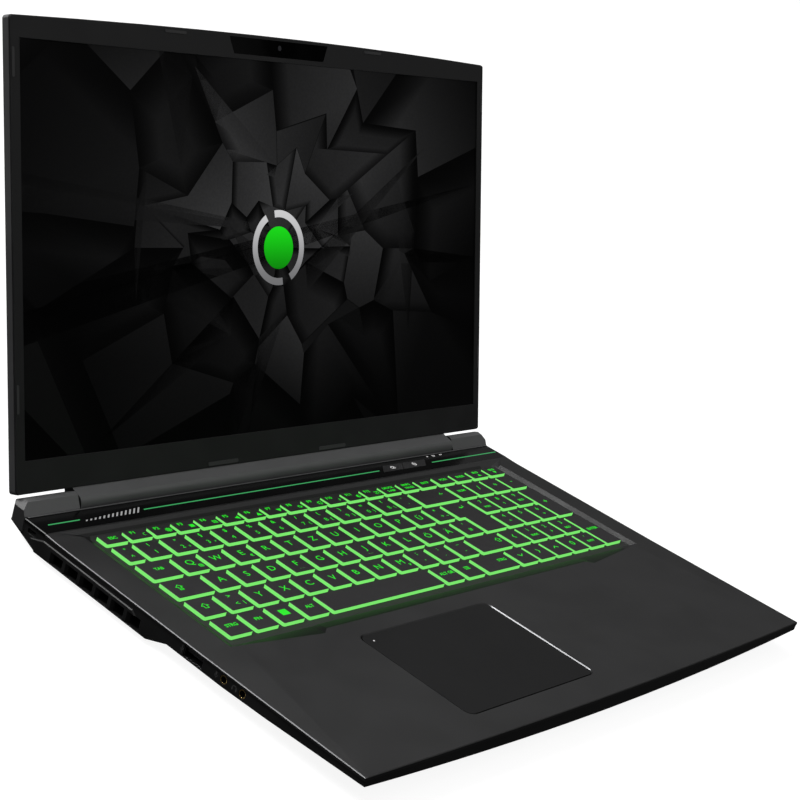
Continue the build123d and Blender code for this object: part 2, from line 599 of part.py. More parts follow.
with BuildPart() as keyboard_frame:
    block(deck, (RECESS_FLOOR[0][0] - FRAME_EDGE, RECESS_FLOOR[5][0] + FRAME_EDGE),
          (RECESS_FLOOR[1][1] - FRAME_EDGE, RECESS_FLOOR[7][1] + FRAME_EDGE),
          (-DECK_THICK - FRAME_THICK, -DECK_THICK))
    with BuildSketch(deck.offset(-DECK_THICK - FRAME_THICK)):
        for keys in KEY_GROUPS.values():
            for x, y, width, depth in keys:
                with Locations((x + width / 2, y + depth / 2)):
                    RectangleRounded(width + 2 * KEY_CLEARANCE, depth + 2 * KEY_CLEARANCE,
                                     KEY_ROUND + KEY_CLEARANCE)
        with BuildLine() as enter_line:
            Polyline(*ENTER_OUTLINE, close=True)
        make_face()
        with BuildLine():
            offset(enter_line.line, amount=KEY_CLEARANCE, kind=Kind.INTERSECTION)
        make_face()
    extrude(amount=FRAME_THICK, mode=Mode.SUBTRACT)

keyboard_frame.part.label = "keyboard_frame"
export_step(keyboard_frame.part, "parts/keyboard_frame.step")

with BuildPart() as keyboard_plate:
    frame_x = (RECESS_FLOOR[0][0] - FRAME_EDGE, RECESS_FLOOR[5][0] + FRAME_EDGE)
    frame_y = (RECESS_FLOOR[1][1] - FRAME_EDGE, RECESS_FLOOR[7][1] + FRAME_EDGE)
    block(deck, frame_x, frame_y, (PLATE_TOP - PLATE_THICK, PLATE_TOP))
    # the rim joins the plate to the key frame above it
    block(deck, frame_x, frame_y, (PLATE_TOP, -DECK_THICK - FRAME_THICK))
    block(deck, (frame_x[0] + 1, frame_x[1] - 1), (frame_y[0] + 1, frame_y[1] - 1),
          (PLATE_TOP, -DECK_THICK), mode=Mode.SUBTRACT)

keyboard_plate.part.label = "keyboard_plate"
export_step(keyboard_plate.part, "parts/keyboard_plate.step")

with BuildPart() as key_domes:
    block(deck, (frame_x[0] + 2, frame_x[1] - 2), (frame_y[0] + 2, frame_y[1] - 2),
          (PLATE_TOP, PLATE_TOP + DOME_SHEET))
    with BuildSketch(deck.offset(PLATE_TOP + DOME_SHEET)):
        for keys in KEY_GROUPS.values():
            with Locations(*[(x + width / 2, y + depth / 2) for x, y, width, depth in keys]):
                Circle(DOME_RADIUS)
        with Locations(((ENTER_LOW_LEFT + MAIN_RIGHT) / 2, ROW_Y[2])):
            Circle(DOME_RADIUS)
    extrude(amount=DOME_RISE)

key_domes.part.label = "key_domes"
export_step(key_domes.part, "parts/key_domes.step")

KEY_LOW = -DECK_THICK - KEY_SUNK
KEY_TOP = -DECK_THICK + KEY_RISE

for group_name, keys in KEY_GROUPS.items():
    with BuildPart() as key_group:
        with BuildSketch(deck.offset(KEY_LOW)):
            for x, y, width, depth in keys:
                with Locations((x + width / 2, y + depth / 2)):
                    RectangleRounded(width, depth, KEY_ROUND)
        extrude(amount=KEY_TOP - KEY_LOW)
        chamfer(key_group.faces().group_by(Axis.Z)[-1].edges(), KEY_CHAMFER)
    key_group.part.label = group_name
    export_step(key_group.part, f"parts/{group_name}.step")

with BuildPart() as key_enter:
    prism(deck, ENTER_OUTLINE, (KEY_LOW, KEY_TOP))
    chamfer(key_enter.faces().group_by(Axis.Z)[-1].edges(), KEY_CHAMFER)

key_enter.part.label = "key_enter"
export_step(key_enter.part, "parts/key_enter.step")

with BuildPart() as touchpad:
    with BuildSketch(deck.offset(-TOUCHPAD_SUNK - 1.2)):
        with Locations(pad_centre):
            RectangleRounded(TOUCHPAD[1] - TOUCHPAD[0] - 2 * TOUCHPAD_GAP,
                             TOUCHPAD[3] - TOUCHPAD[2] - 2 * TOUCHPAD_GAP, TOUCHPAD_ROUND - TOUCHPAD_GAP)
    extrude(amount=1.2)
    # the flange under the deck keeps the pad in
    with BuildSketch(deck.offset(-3.2)):
        with Locations(pad_centre):
            RectangleRounded(TOUCHPAD[1] - TOUCHPAD[0] + 3, TOUCHPAD[3] - TOUCHPAD[2] + 3, TOUCHPAD_ROUND)
    extrude(amount=1.1)
    with BuildSketch(deck.offset(-2.2)):
        with Locations(pad_centre):
            Rectangle(TOUCHPAD[1] - TOUCHPAD[0] - 8, TOUCHPAD[3] - TOUCHPAD[2] - 8)
    extrude(amount=1.0)

touchpad.part.label = "touchpad"
export_step(touchpad.part, "parts/touchpad.step")

# ---------------------------------------------------------------- hinge caps, brackets and arms


def seat_height(y):
    """The height of the hinge caps' sloping seat at a place along the base."""
    (front_y, front_z), (rear_y, rear_z) = CAP_SEAT[:2]
    return front_z + (rear_z - front_z) * (y - front_y) / (rear_y - front_y)


# Side view of a cap, inside the circle that the lid's foot sweeps, and of the hollow in it
CAP_OUTLINE = [(244.0, seat_height(244.0)), (244.0, 0.3), (248.0, 6.4), (250.9, 7.15), (255.0, 5.2),
               (257.2, 1.0), (256.6, seat_height(256.6))]
CAP_HOLLOW = [(245.2, -9), (245.2, 0.1), (248.7, 5.3), (250.9, 5.8), (254.1, 4.3), (255.9, 0.8), (255.4, -9)]
CAP_WALL = 1.5
BRACKET_X = (9.0, 28.0)
BRACKET_RADIUS = 4.2
ARM_X = (42.0, 58.0)
PIN_X = (10.0, 58.0)
ARM_PLATE = (-5.1, -3.9)
ARM_TOP = 42.0
SPINE_X = (CAP_WIDTH + SPINE_GAP, WIDTH - CAP_WIDTH - SPINE_GAP)
SPINE_WALL = 1.3
SPINE_NECK = LID_LOW - 0.44

with BuildPart() as hinge_cap_left:
    prism(side, CAP_OUTLINE, (0, CAP_WIDTH))
    # the outer end slopes in towards the top
    outer_slope = [(-1, 2.2), (5.5, 8.5), (-1, 8.5)]
    with BuildSketch(Plane((LEFT, FRONT + 240, DECK_HEIGHT), x_dir=(1, 0, 0), z_dir=(0, -1, 0))):
        with BuildLine():
            Polyline(*outer_slope, close=True)
        make_face()
    extrude(amount=-22, mode=Mode.SUBTRACT)
    prism(deck, [(-1, 252.5), (4.5, 258.5), (-1, 258.5)], (-12, 9), mode=Mode.SUBTRACT)
    prism(side, CAP_HOLLOW, (CAP_WALL + 5, CAP_WIDTH - CAP_WALL), mode=Mode.SUBTRACT)
    barrel((CAP_WIDTH - 3, CAP_WIDTH + 1), PIN_RADIUS + 0.3, mode=Mode.SUBTRACT)

hinge_cap_left.part.label = "hinge_cap_left"
export_step(hinge_cap_left.part, "parts/hinge_cap_left.step")

with BuildPart() as hinge_cap_right:
    mirror(hinge_cap_left.part, about=Plane.YZ)

hinge_cap_right.part.label = "hinge_cap_right"
export_step(hinge_cap_right.part, "parts/hinge_cap_right.step")


with BuildPart() as hinge_brackets:
    prism(side, [(246.5, seat_height(246.5)), (254.5, seat_height(254.5)), (254.5, -3.5), (253.5, HINGE_Z),
                 (248.7, HINGE_Z), (246.5, -4.5)], BRACKET_X)
    barrel(BRACKET_X, BRACKET_RADIUS)
    barrel(BRACKET_X, PIN_RADIUS + PIN_CLEARANCE, mode=Mode.SUBTRACT)
    mirror(about=Plane.YZ)

hinge_brackets.part.label = "hinge_brackets"
export_step(hinge_brackets.part, "parts/hinge_brackets.step")

with BuildPart() as hinge_arms:
    barrel(PIN_X, PIN_RADIUS)
    block(hinge_side, (-1, 1), (ARM_PLATE[0], 0), ARM_X)
    block(hinge_side, (-1, ARM_TOP), ARM_PLATE, ARM_X)
    mirror(about=Plane.YZ)

hinge_arms.part.label = "hinge_arms"
export_step(hinge_arms.part, "parts/hinge_arms.step")


def spine_outline(shrink, neck):
    """The spine's section seen from its left end: a round barrel with a flat facing the user."""
    radius = SPINE_RADIUS - shrink
    facet_angle = radians(60.4)
    touch = (radius * cos(facet_angle), radius * sin(facet_angle))
    with BuildLine() as outline:
        Polyline((0, -radius), (neck, -7.0 + shrink), (neck, -0.1 - shrink), (7.15 - shrink, -shrink), touch)
        ThreePointArc(touch, (-radius, 0), (0, -radius))
    return outline.line


with BuildPart() as hinge_spine:
    with BuildSketch(hinge_side.offset(SPINE_X[0])):
        add(spine_outline(0, SPINE_NECK))
        make_face()
    extrude(amount=SPINE_X[1] - SPINE_X[0])
    with BuildSketch(hinge_side.offset(SPINE_X[0] + SPINE_WALL)):
        add(spine_outline(SPINE_WALL, 6.2))
        make_face()
    extrude(amount=SPINE_X[1] - SPINE_X[0] - 2 * SPINE_WALL, mode=Mode.SUBTRACT)
    barrel((SPINE_X[0] - 1, SPINE_X[0] + 3), PIN_RADIUS + 0.1, mode=Mode.SUBTRACT)
    barrel((SPINE_X[1] - 3, SPINE_X[1] + 1), PIN_RADIUS + 0.1, mode=Mode.SUBTRACT)
    for arm in (ARM_X, (WIDTH - ARM_X[1], WIDTH - ARM_X[0])):
        block(hinge_side, (6, 8), (ARM_PLATE[0] - 0.1, ARM_PLATE[1] + 0.1), (arm[0] - 0.2, arm[1] + 0.2),
              mode=Mode.SUBTRACT)

hinge_spine.part.label = "hinge_spine"
export_step(hinge_spine.part, "parts/hinge_spine.step")

# ---------------------------------------------------------------- lid

BEZEL_INSET = 0.4
CAMERA_U = WIDTH / 2
CAMERA_V = 248.6
CAMERA_NOTCH = [(156.3, 252.6), (160.0, 243.2), (236.0, 243.2), (239.7, 252.6)]
LENS_RADIUS = 1.5
BUMPER_RISE = 0.3
# Width, height and corner radius
TOP_BUMPER = (16.0, 1.6, 0.7)
SIDE_BUMPER = (1.6, 15.0, 0.7)
LOW_BUMPER = (24.5, 2.2, 0.9)
TOP_BUMPERS = [(114.4, 251.6), (WIDTH - 114.4, 251.6)]
SIDE_BUMPERS = [(u, v) for u in (1.9, WIDTH - 1.9) for v in (57.5, 228.1)]
LOW_BUMPERS = [(150.5, 10.3), (WIDTH - 150.5, 10.3)]


def lid_outline(inset):
    """The lid's outline with its bulged top edge, shrunk by an inset."""
    low = LID_LOW + inset
    left = inset
    right = WIDTH - inset
    corner = LID_CORNER - inset
    with BuildLine() as outline:
        Polyline((left, corner), (left, low), (right, low), (right, corner))
        ThreePointArc((right, corner), (WIDTH / 2, LID_TOP - inset), (left, corner))
    return outline.line


with BuildPart() as lid_back_cover:
    with BuildSketch(lid.offset(-LID_THICK)):
        add(lid_outline(0))
        make_face()
    extrude(amount=LID_THICK - BEZEL_THICK)
    back_axis = Axis(lid.origin, lid.z_dir)
    fillet(lid_back_cover.edges().filter_by(back_axis), LID_ROUND)
    chamfer(lid_back_cover.faces().sort_by(back_axis)[0].edges(), LID_CHAMFER)
    with BuildSketch(lid.offset(-LID_THICK + LID_WALL)):
        add(lid_outline(LID_WALL))
        make_face()
    extrude(amount=LID_THICK, mode=Mode.SUBTRACT)
    for arm in (ARM_X, (WIDTH - ARM_X[1], WIDTH - ARM_X[0])):
        block(hinge_side, (7, 10), (ARM_PLATE[0] - 0.1, ARM_PLATE[1] + 0.1), (arm[0] - 0.2, arm[1] + 0.2),
              mode=Mode.SUBTRACT)

lid_back_cover.part.label = "lid_back_cover"
export_step(lid_back_cover.part, "parts/lid_back_cover.step")

with BuildPart() as display_bezel:
    with BuildSketch(lid.offset(-BEZEL_THICK)):
        add(lid_outline(BEZEL_INSET))
        make_face()
    extrude(amount=BEZEL_THICK)
    fillet(display_bezel.edges().filter_by(back_axis), LID_ROUND - BEZEL_INSET)
    block(lid, SCREEN[:2], SCREEN[2:], (-BEZEL_THICK, 0), mode=Mode.SUBTRACT)
    prism(lid, CAMERA_NOTCH, (-BEZEL_THICK, 0), mode=Mode.SUBTRACT)

display_bezel.part.label = "display_bezel"
export_step(display_bezel.part, "parts/display_bezel.step")

with BuildPart() as lcd_panel:
    block(lid, (3, WIDTH - 3), (16, 243), (-3.6, -BEZEL_THICK))

lcd_panel.part.label = "lcd_panel"
export_step(lcd_panel.part, "parts/lcd_panel.step")

with BuildPart() as camera_window:
    prism(lid, CAMERA_NOTCH, (-BEZEL_THICK, 0.05))
    with BuildSketch(lid.offset(-BEZEL_THICK)):
        with Locations((CAMERA_U, CAMERA_V)):
            Circle(LENS_RADIUS + 0.2)
    extrude(amount=2, mode=Mode.SUBTRACT)

camera_window.part.label = "camera_window"
export_step(camera_window.part, "parts/camera_window.step")

with BuildPart() as camera_module:
    block(lid, (CAMERA_U - 17, CAMERA_U + 17), (244.5, 252), (-2.6, -BEZEL_THICK))
    with BuildSketch(lid.offset(-BEZEL_THICK)):
        with Locations((CAMERA_U, CAMERA_V)):
            Circle(LENS_RADIUS)
    extrude(amount=BEZEL_THICK - 0.2)

camera_module.part.label = "camera_module"
export_step(camera_module.part, "parts/camera_module.step")

with BuildPart() as bezel_bumpers:
    with BuildSketch(lid):
        with Locations(*TOP_BUMPERS):
            RectangleRounded(*TOP_BUMPER)
        with Locations(*SIDE_BUMPERS):
            RectangleRounded(*SIDE_BUMPER)
        with Locations(*LOW_BUMPERS):
            RectangleRounded(*LOW_BUMPER)
    extrude(amount=BUMPER_RISE)

bezel_bumpers.part.label = "bezel_bumpers"
export_step(bezel_bumpers.part, "parts/bezel_bumpers.step")

# ---------------------------------------------------------------- inside the base

BOARD_TOP = -8.2
BOARD_LOW = -9.4
BOARD_OUTLINE = [(10, 72), (386, 72), (386, 138), (288, 138), (288, 238), (108, 238), (108, 138), (10, 138)]
CHIP_LOW = -10.6
PLATE_LOW = -12.0
PIPE_LOW = -13.7
PIPE_WIDTH = 7.0
CHIPS = [((144, 160), (170, 186)), ((236, 258), (168, 190))]
COLD_PLATES = [((132, 170), (160, 196)), ((226, 268), (155, 200))]
PIPE_ROUTES = [[(146, 152), (146, 227.5), (32, 227.5)], [(158, 152), (158, 235.5), (32, 235.5)]]
FIN_X = (30.0, 100.0)
FIN_Y = (223.5, 239.5)
FIN_Z = (PLATE_LOW, -7.0)
FIN_PITCH = 2.2
FAN_HALF = 38.0
FAN_Y = (150.0, 222.0)
FAN_Z = (-14.2, -6.4)
FAN_SKIN = 0.8
ROTOR_RADIUS = 31.0
HUB_RADIUS = 11.0
BLADES = 31
SHAFT_RADIUS = 1.5
SHAFT_CLEARANCE = 0.05

with BuildPart() as motherboard:
    prism(deck, BOARD_OUTLINE, (BOARD_LOW, BOARD_TOP))
    with BuildSketch(deck.offset(BOARD_TOP)):
        for x in (125, 271):
            with Locations((x, 178)):
                with GridLocations(0, 9, 1, 6):
                    Rectangle(6.5, 6.5)
    extrude(amount=2.2)

motherboard.part.label = "motherboard"
export_step(motherboard.part, "parts/motherboard.step")

with BuildPart() as processor_chips:
    for across, along in CHIPS:
        block(deck, across, along, (CHIP_LOW, BOARD_LOW))
    with BuildSketch(deck.offset(BOARD_LOW - 1.0)):
        with Locations((247, 145), (247, 213)):
            with GridLocations(16, 0, 3, 1):
                Rectangle(12, 14)
    extrude(amount=1.0)

processor_chips.part.label = "processor_chips"
export_step(processor_chips.part, "parts/processor_chips.step")

with BuildPart() as cold_plates:
    for across, along in COLD_PLATES:
        block(deck, across, along, (PLATE_LOW, CHIP_LOW))

cold_plates.part.label = "cold_plates"
export_step(cold_plates.part, "parts/cold_plates.step")

with BuildPart() as heat_pipes:
    for route in PIPE_ROUTES:
        with BuildSketch(deck.offset(PIPE_LOW)):
            with BuildLine():
                FilletPolyline(*route, radius=12)
            trace(line_width=PIPE_WIDTH)
        extrude(amount=PLATE_LOW - PIPE_LOW)
    mirror(about=Plane.YZ)

heat_pipes.part.label = "heat_pipes"
export_step(heat_pipes.part, "parts/heat_pipes.step")

with BuildPart() as heatsink_fins:
    block(deck, FIN_X, FIN_Y, FIN_Z)
    channels = int((FIN_X[1] - FIN_X[0] - 1) / FIN_PITCH)
    with BuildSketch(deck.offset(FIN_Z[0] + 0.5)):
        with Locations(((FIN_X[0] + FIN_X[1]) / 2, (FIN_Y[0] + FIN_Y[1]) / 2)):
            with GridLocations(FIN_PITCH, 0, channels, 1):
                Rectangle(FIN_PITCH - 0.4, FIN_Y[1] - FIN_Y[0])
    extrude(amount=FIN_Z[1] - FIN_Z[0] - 1, mode=Mode.SUBTRACT)
    mirror(about=Plane.YZ)

heatsink_fins.part.label = "heatsink_fins"
export_step(heatsink_fins.part, "parts/heatsink_fins.step")

for fan_side, centre in zip(("left", "right"), FAN_CENTRES):
    with BuildPart() as fan_housing:
        block(deck, (centre[0] - FAN_HALF, centre[0] + FAN_HALF), FAN_Y, FAN_Z)
        with BuildSketch(deck.offset(FAN_Z[0] + FAN_SKIN)):
            with Locations(centre):
                Circle(ROTOR_RADIUS + 3)
            with Locations((centre[0], (centre[1] + FAN_Y[1]) / 2 + 1)):
                Rectangle(2 * ROTOR_RADIUS + 6, FAN_Y[1] - centre[1] + 2)
        extrude(amount=FAN_Z[1] - FAN_Z[0] - 2 * FAN_SKIN, mode=Mode.SUBTRACT)
        with BuildSketch(deck.offset(FAN_Z[0])):
            with Locations(centre):
                Circle(23)
        extrude(amount=FAN_SKIN, mode=Mode.SUBTRACT)
        with BuildSketch(deck.offset(-13.0)):
            with Locations(centre):
                Circle(SHAFT_RADIUS)
        extrude(amount=FAN_Z[1] - FAN_SKIN + 13.0)
    fan_housing.part.label = f"fan_housing_{fan_side}"
    export_step(fan_housing.part, f"parts/fan_housing_{fan_side}.step")

    with BuildPart() as fan_rotor:
        with BuildSketch(deck.offset(-12.6)):
            with Locations(centre):
                Circle(HUB_RADIUS)
                Circle(SHAFT_RADIUS + SHAFT_CLEARANCE, mode=Mode.SUBTRACT)
        extrude(amount=4.6)
        with BuildSketch(deck.offset(-12.2)):
            with Locations(centre):
                with PolarLocations((ROTOR_RADIUS + HUB_RADIUS) / 2 - 0.5, BLADES):
                    Rectangle(ROTOR_RADIUS - HUB_RADIUS + 1, 0.8)
        extrude(amount=3.8)
    fan_rotor.part.label = f"fan_rotor_{fan_side}"
    export_step(fan_rotor.part, f"parts/fan_rotor_{fan_side}.step")

with BuildPart() as battery:
    with BuildSketch(deck.offset(-14.2)):
        with Locations((WIDTH / 2, 53)):
            RectangleRounded(256, 30, 2)
    extrude(amount=8.0)

battery.part.label = "battery"
export_step(battery.part, "parts/battery.step")

with BuildPart() as speakers:
    block(deck, (24, 64), (32, 50), (-13.9, -6.2))
    with BuildSketch(deck.offset(-14.3)):
        with Locations((44, 41)):
            SlotOverall(30, 10)
    extrude(amount=0.6)
    mirror(about=Plane.YZ)

speakers.part.label = "speakers"
export_step(speakers.part, "parts/speakers.step")


CARD_Z = (-11.9, -10.9)
CARD_SOCKET_Z = (-13.0, BOARD_LOW)
CARD_CHIP_Z = (-12.9, CARD_Z[0])
MEMORY_X = (112, 180)
MEMORY_CHIPS = 6
DRIVE_X = (198, 278)
DRIVE_Y = (78, 100)
WIRELESS_X = (198, 228)
WIRELESS_Y = (108, 130)
SIDE_SOCKET_X = (194, 200)


def card_in_socket(across, along, socket_along, chips):
    """A circuit card held by its front edge, under the board: card, socket and a row of chips."""
    block(deck, across, along, CARD_Z)
    block(deck, across, socket_along, CARD_SOCKET_Z)
    middle = (max(along[0], socket_along[1]) + along[1]) / 2
    chip_pitch = (across[1] - across[0]) / chips
    with BuildSketch(deck.offset(CARD_CHIP_Z[0])) as outline:
        with Locations(((across[0] + across[1]) / 2, middle)):
            with GridLocations(chip_pitch, 0, chips, 1):
                Rectangle(chip_pitch - 2.5, 12)
    extrude(outline.sketch, amount=CARD_CHIP_Z[1] - CARD_CHIP_Z[0])


with BuildPart() as memory_modules:
    card_in_socket(MEMORY_X, (76, 105), (74, 79), MEMORY_CHIPS)
    card_in_socket(MEMORY_X, (108, 137), (106, 111), MEMORY_CHIPS)

memory_modules.part.label = "memory_modules"
export_step(memory_modules.part, "parts/memory_modules.step")

with BuildPart() as solid_state_drive:
    block(deck, DRIVE_X, DRIVE_Y, CARD_Z)
    block(deck, SIDE_SOCKET_X, DRIVE_Y, CARD_SOCKET_Z)
    with BuildSketch(deck.offset(CARD_CHIP_Z[0])):
        with Locations(((DRIVE_X[0] + DRIVE_X[1]) / 2, (DRIVE_Y[0] + DRIVE_Y[1]) / 2)):
            with GridLocations(22, 0, 3, 1):
                Rectangle(16, 18)
    extrude(amount=CARD_CHIP_Z[1] - CARD_CHIP_Z[0])

solid_state_drive.part.label = "solid_state_drive"
export_step(solid_state_drive.part, "parts/solid_state_drive.step")

with BuildPart() as wireless_card:
    block(deck, WIRELESS_X, WIRELESS_Y, CARD_Z)
    block(deck, SIDE_SOCKET_X, WIRELESS_Y, CARD_SOCKET_Z)
    block(deck, (WIRELESS_X[0] + 6, WIRELESS_X[1] - 6), (WIRELESS_Y[0] + 4, WIRELESS_Y[1] - 4), CARD_CHIP_Z)

wireless_card.part.label = "wireless_card"
export_step(wireless_card.part, "parts/wireless_card.step")

# ---------------------------------------------------------------- sockets

JACK_NOSE = 0.9
JACK_BODY_X = (3.4, 16.5)
JACK_BODY_HALF = 3.2

with BuildPart() as audio_jacks:
    for y in JACK_Y:
        block(deck, JACK_BODY_X, (y - JACK_BODY_HALF, y + JACK_BODY_HALF), (BOARD_TOP, JACK_Z + 2.7))
    with BuildSketch(side.offset(JACK_NOSE)):
        with Locations(*[(y, JACK_Z) for y in JACK_Y]):
            Circle(JACK_BARREL)
    extrude(amount=JACK_BODY_X[0] - JACK_NOSE)
    with BuildSketch(side.offset(JACK_NOSE)):
        with Locations(*[(y, JACK_Z) for y in JACK_Y]):
            Circle(JACK_RADIUS)
    extrude(amount=JACK_DEEP, mode=Mode.SUBTRACT)

audio_jacks.part.label = "audio_jacks"
export_step(audio_jacks.part, "parts/audio_jacks.step")


def usb_a(x_limits, y, mouth):
    """One wide socket in a side wall: a shell open at its mouth, with its tongue."""
    low, high = x_limits
    half = USB_A[0] / 2
    rise = USB_A[1] / 2
    inner_half = half - USB_SHELL
    inner_rise = rise - USB_SHELL
    hollow = (low - 1, high - USB_SHELL) if mouth == "left" else (low + USB_SHELL, high + 1)
    tongue = (low + USB_TONGUE_SHY, high) if mouth == "left" else (low, high - USB_TONGUE_SHY)
    block(deck, x_limits, (y - half, y + half), (USB_Z - rise, USB_Z + rise))
    block(deck, hollow, (y - inner_half, y + inner_half), (USB_Z - inner_rise, USB_Z + inner_rise),
          mode=Mode.SUBTRACT)
    block(deck, tongue, (y - half + 1, y + half - 1), (USB_Z + 0.2, USB_Z + 1.9))


with BuildPart() as usb_ports:
    usb_a((JACK_NOSE, JACK_NOSE + USB_A_DEEP), USB_LEFT_Y, "left")
    for y in USB_RIGHT_Y:
        usb_a((WIDTH - JACK_NOSE - USB_A_DEEP, WIDTH - JACK_NOSE), y, "right")

usb_ports.part.label = "usb_ports"
export_step(usb_ports.part, "parts/usb_ports.step")

with BuildPart() as card_reader:
    block(deck, READER_X, (CARD_Y - 14, CARD_Y + 14), (USB_Z - 2, USB_Z + 2))
    block(deck, (READER_X[0] + 1, READER_X[1]), (CARD_Y - READER_MOUTH[0], CARD_Y + READER_MOUTH[0]),
          (USB_Z - READER_MOUTH[1], USB_Z + READER_MOUTH[1]), mode=Mode.SUBTRACT)

card_reader.part.label = "card_reader"
export_step(card_reader.part, "parts/card_reader.step")

with BuildPart() as lock_slot_plate:
    plate_x = SIDE_SET_IN + WALL
    block(side, (LOCK_Y - 4.8, LOCK_Y + 4.8), (LOCK_Z - 2.4, LOCK_Z + 2.4), (plate_x, plate_x + 1.4))
    block(side, (LOCK_Y - LOCK_SLOT[0] / 2, LOCK_Y + LOCK_SLOT[0] / 2),
          (LOCK_Z - LOCK_SLOT[1] / 2, LOCK_Z + LOCK_SLOT[1] / 2), (plate_x, plate_x + 2), mode=Mode.SUBTRACT)

lock_slot_plate.part.label = "lock_slot_plate"
export_step(lock_slot_plate.part, "parts/lock_slot_plate.step")

with BuildPart() as network_port:
    low_y = BASE_DEPTH - SOCKET_DEPTH
    block(deck, NETWORK_X, (low_y, BASE_DEPTH - SOCKET_SHY), NETWORK_Z)
    mouth_x = (NETWORK_X[0] + 2.1, NETWORK_X[1] - 2.1)
    block(deck, mouth_x, (low_y + 1.5, BASE_DEPTH), (NETWORK_Z[0] + 0.6, NETWORK_Z[1] - 0.8),
          mode=Mode.SUBTRACT)
    for contact in range(8):
        x = NETWORK_X[0] + 4.4 + contact
        block(deck, (x, x + 0.35), (low_y + 1, low_y + 8), (NETWORK_Z[1] - 1.5, NETWORK_Z[1] - 0.6))

network_port.part.label = "network_port"
export_step(network_port.part, "parts/network_port.step")

with BuildPart() as video_ports:
    socket(VIDEO_X, VIDEO_Z, 0.5, 1.2)
    for limits in MINI_VIDEO_X:
        socket(limits, VIDEO_Z, 0.5, 1.0)

video_ports.part.label = "video_ports"
export_step(video_ports.part, "parts/video_ports.step")

with BuildPart() as usb_c_port:
    socket(USB_C_X, USB_C_Z, 0.45, 0.7)
    fillet(usb_c_port.edges().filter_by(Axis.Y).group_by(Axis.Z)[-1], 1.5)
    fillet(usb_c_port.edges().filter_by(Axis.Y).group_by(Axis.Z)[0], 1.5)

usb_c_port.part.label = "usb_c_port"
export_step(usb_c_port.part, "parts/usb_c_port.step")

with BuildPart() as dc_inlet:
    rear_face = Plane((LEFT, FRONT + BASE_DEPTH - SOCKET_SHY, DECK_HEIGHT), x_dir=(1, 0, 0), z_dir=(0, -1, 0))
    power_centre = ((POWER_X[0] + POWER_X[1]) / 2, (POWER_Z[0] + POWER_Z[1]) / 2)
    block(deck, POWER_X, (BASE_DEPTH - SOCKET_DEPTH, BASE_DEPTH - SOCKET_SHY), POWER_Z)
    with BuildSketch(rear_face):
        with Locations(power_centre):
            Circle(POWER_RADIUS)
            Circle(POWER_PIN, mode=Mode.SUBTRACT)
    extrude(amount=11, mode=Mode.SUBTRACT)
    with BuildSketch(rear_face):
        with Locations(power_centre):
            Circle(POWER_PIN)
    extrude(amount=1.0, mode=Mode.SUBTRACT)

dc_inlet.part.label = "dc_inlet"
export_step(dc_inlet.part, "parts/dc_inlet.step")
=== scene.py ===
"""The looks of an open laptop computer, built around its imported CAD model.

Metres, in the CAD model's frame. Places on the base are in millimetres from the deck's front left corner
(x right, y back, z up from the deck), and places on the lid are in millimetres from the left end of its foot
(u right, v up the lid, w out of the screen).
"""

import math
import random

import bmesh
import bpy
from mathutils import Matrix, Vector


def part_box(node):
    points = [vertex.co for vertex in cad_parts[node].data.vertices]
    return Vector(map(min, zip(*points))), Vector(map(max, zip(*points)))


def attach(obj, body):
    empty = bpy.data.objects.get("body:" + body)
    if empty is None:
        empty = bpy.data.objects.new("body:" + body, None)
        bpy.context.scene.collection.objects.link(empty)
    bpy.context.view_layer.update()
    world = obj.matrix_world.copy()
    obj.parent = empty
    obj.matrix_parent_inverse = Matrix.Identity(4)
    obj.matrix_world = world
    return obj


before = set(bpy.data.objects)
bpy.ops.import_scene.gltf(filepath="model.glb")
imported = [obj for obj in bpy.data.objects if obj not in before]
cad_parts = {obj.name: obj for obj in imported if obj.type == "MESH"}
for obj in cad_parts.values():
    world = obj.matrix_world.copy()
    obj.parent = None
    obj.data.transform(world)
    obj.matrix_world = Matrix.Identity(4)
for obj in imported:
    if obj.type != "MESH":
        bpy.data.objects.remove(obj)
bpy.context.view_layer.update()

MM = 0.001
# the random draws of the screen's picture
SEED = 11

# ---------------------------------------------------------------- places, all from the frame

DECK_DEPTH = 226.0
LID_FOOT_Y = 251.05
LID_TILT = math.radians(20.4)
# the lit part of the display: left, right, low and high
SCREEN = (6.15, 389.85, 25.4, 240.4)
# the display's surface lies this far behind the lid's own plane
PANEL_W = -0.9

deck_low, deck_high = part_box("palmrest_deck")
strip_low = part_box("status_strip")[0]
WIDTH = (deck_high.x - deck_low.x) / MM

deck_frame = Matrix.Translation((deck_low.x, strip_low.y - DECK_DEPTH * MM, deck_high.z))
lid_turn = Matrix(((1, 0, 0), (0, math.sin(LID_TILT), -math.cos(LID_TILT)),
                   (0, math.cos(LID_TILT), math.sin(LID_TILT)))).to_4x4()
lid_frame = deck_frame @ Matrix.Translation((0, LID_FOOT_Y * MM, 0)) @ lid_turn
# the base's left side: local x runs to the front, local y up, local z out of the side
side_turn = Matrix(((0, 0, -1), (-1, 0, 0), (0, 1, 0))).to_4x4()
left_side_frame = deck_frame @ side_turn


# ---------------------------------------------------------------- materials

# the part of a noise pattern's values that most of it falls in
NOISE_SPAN = (0.3, 0.7)

# How far a face looks along an axis, from 0 to 1: the two values between which each mask of faces fades.
LEVEL = (0.86, 0.93)
UPRIGHT = (0.3, 0.4)
OFF_LEVEL = (0.985, 0.995)
SIDEWAYS = (0.22, 0.3)
KEY_SIDE = (0.30, 0.42)

# the Mix node's sockets for its two colours, and for the colour that it gives
MIX_COLORS = (6, 7)
MIX_RESULT = 2


def scaled(color, share):
    return [c * share for c in color]


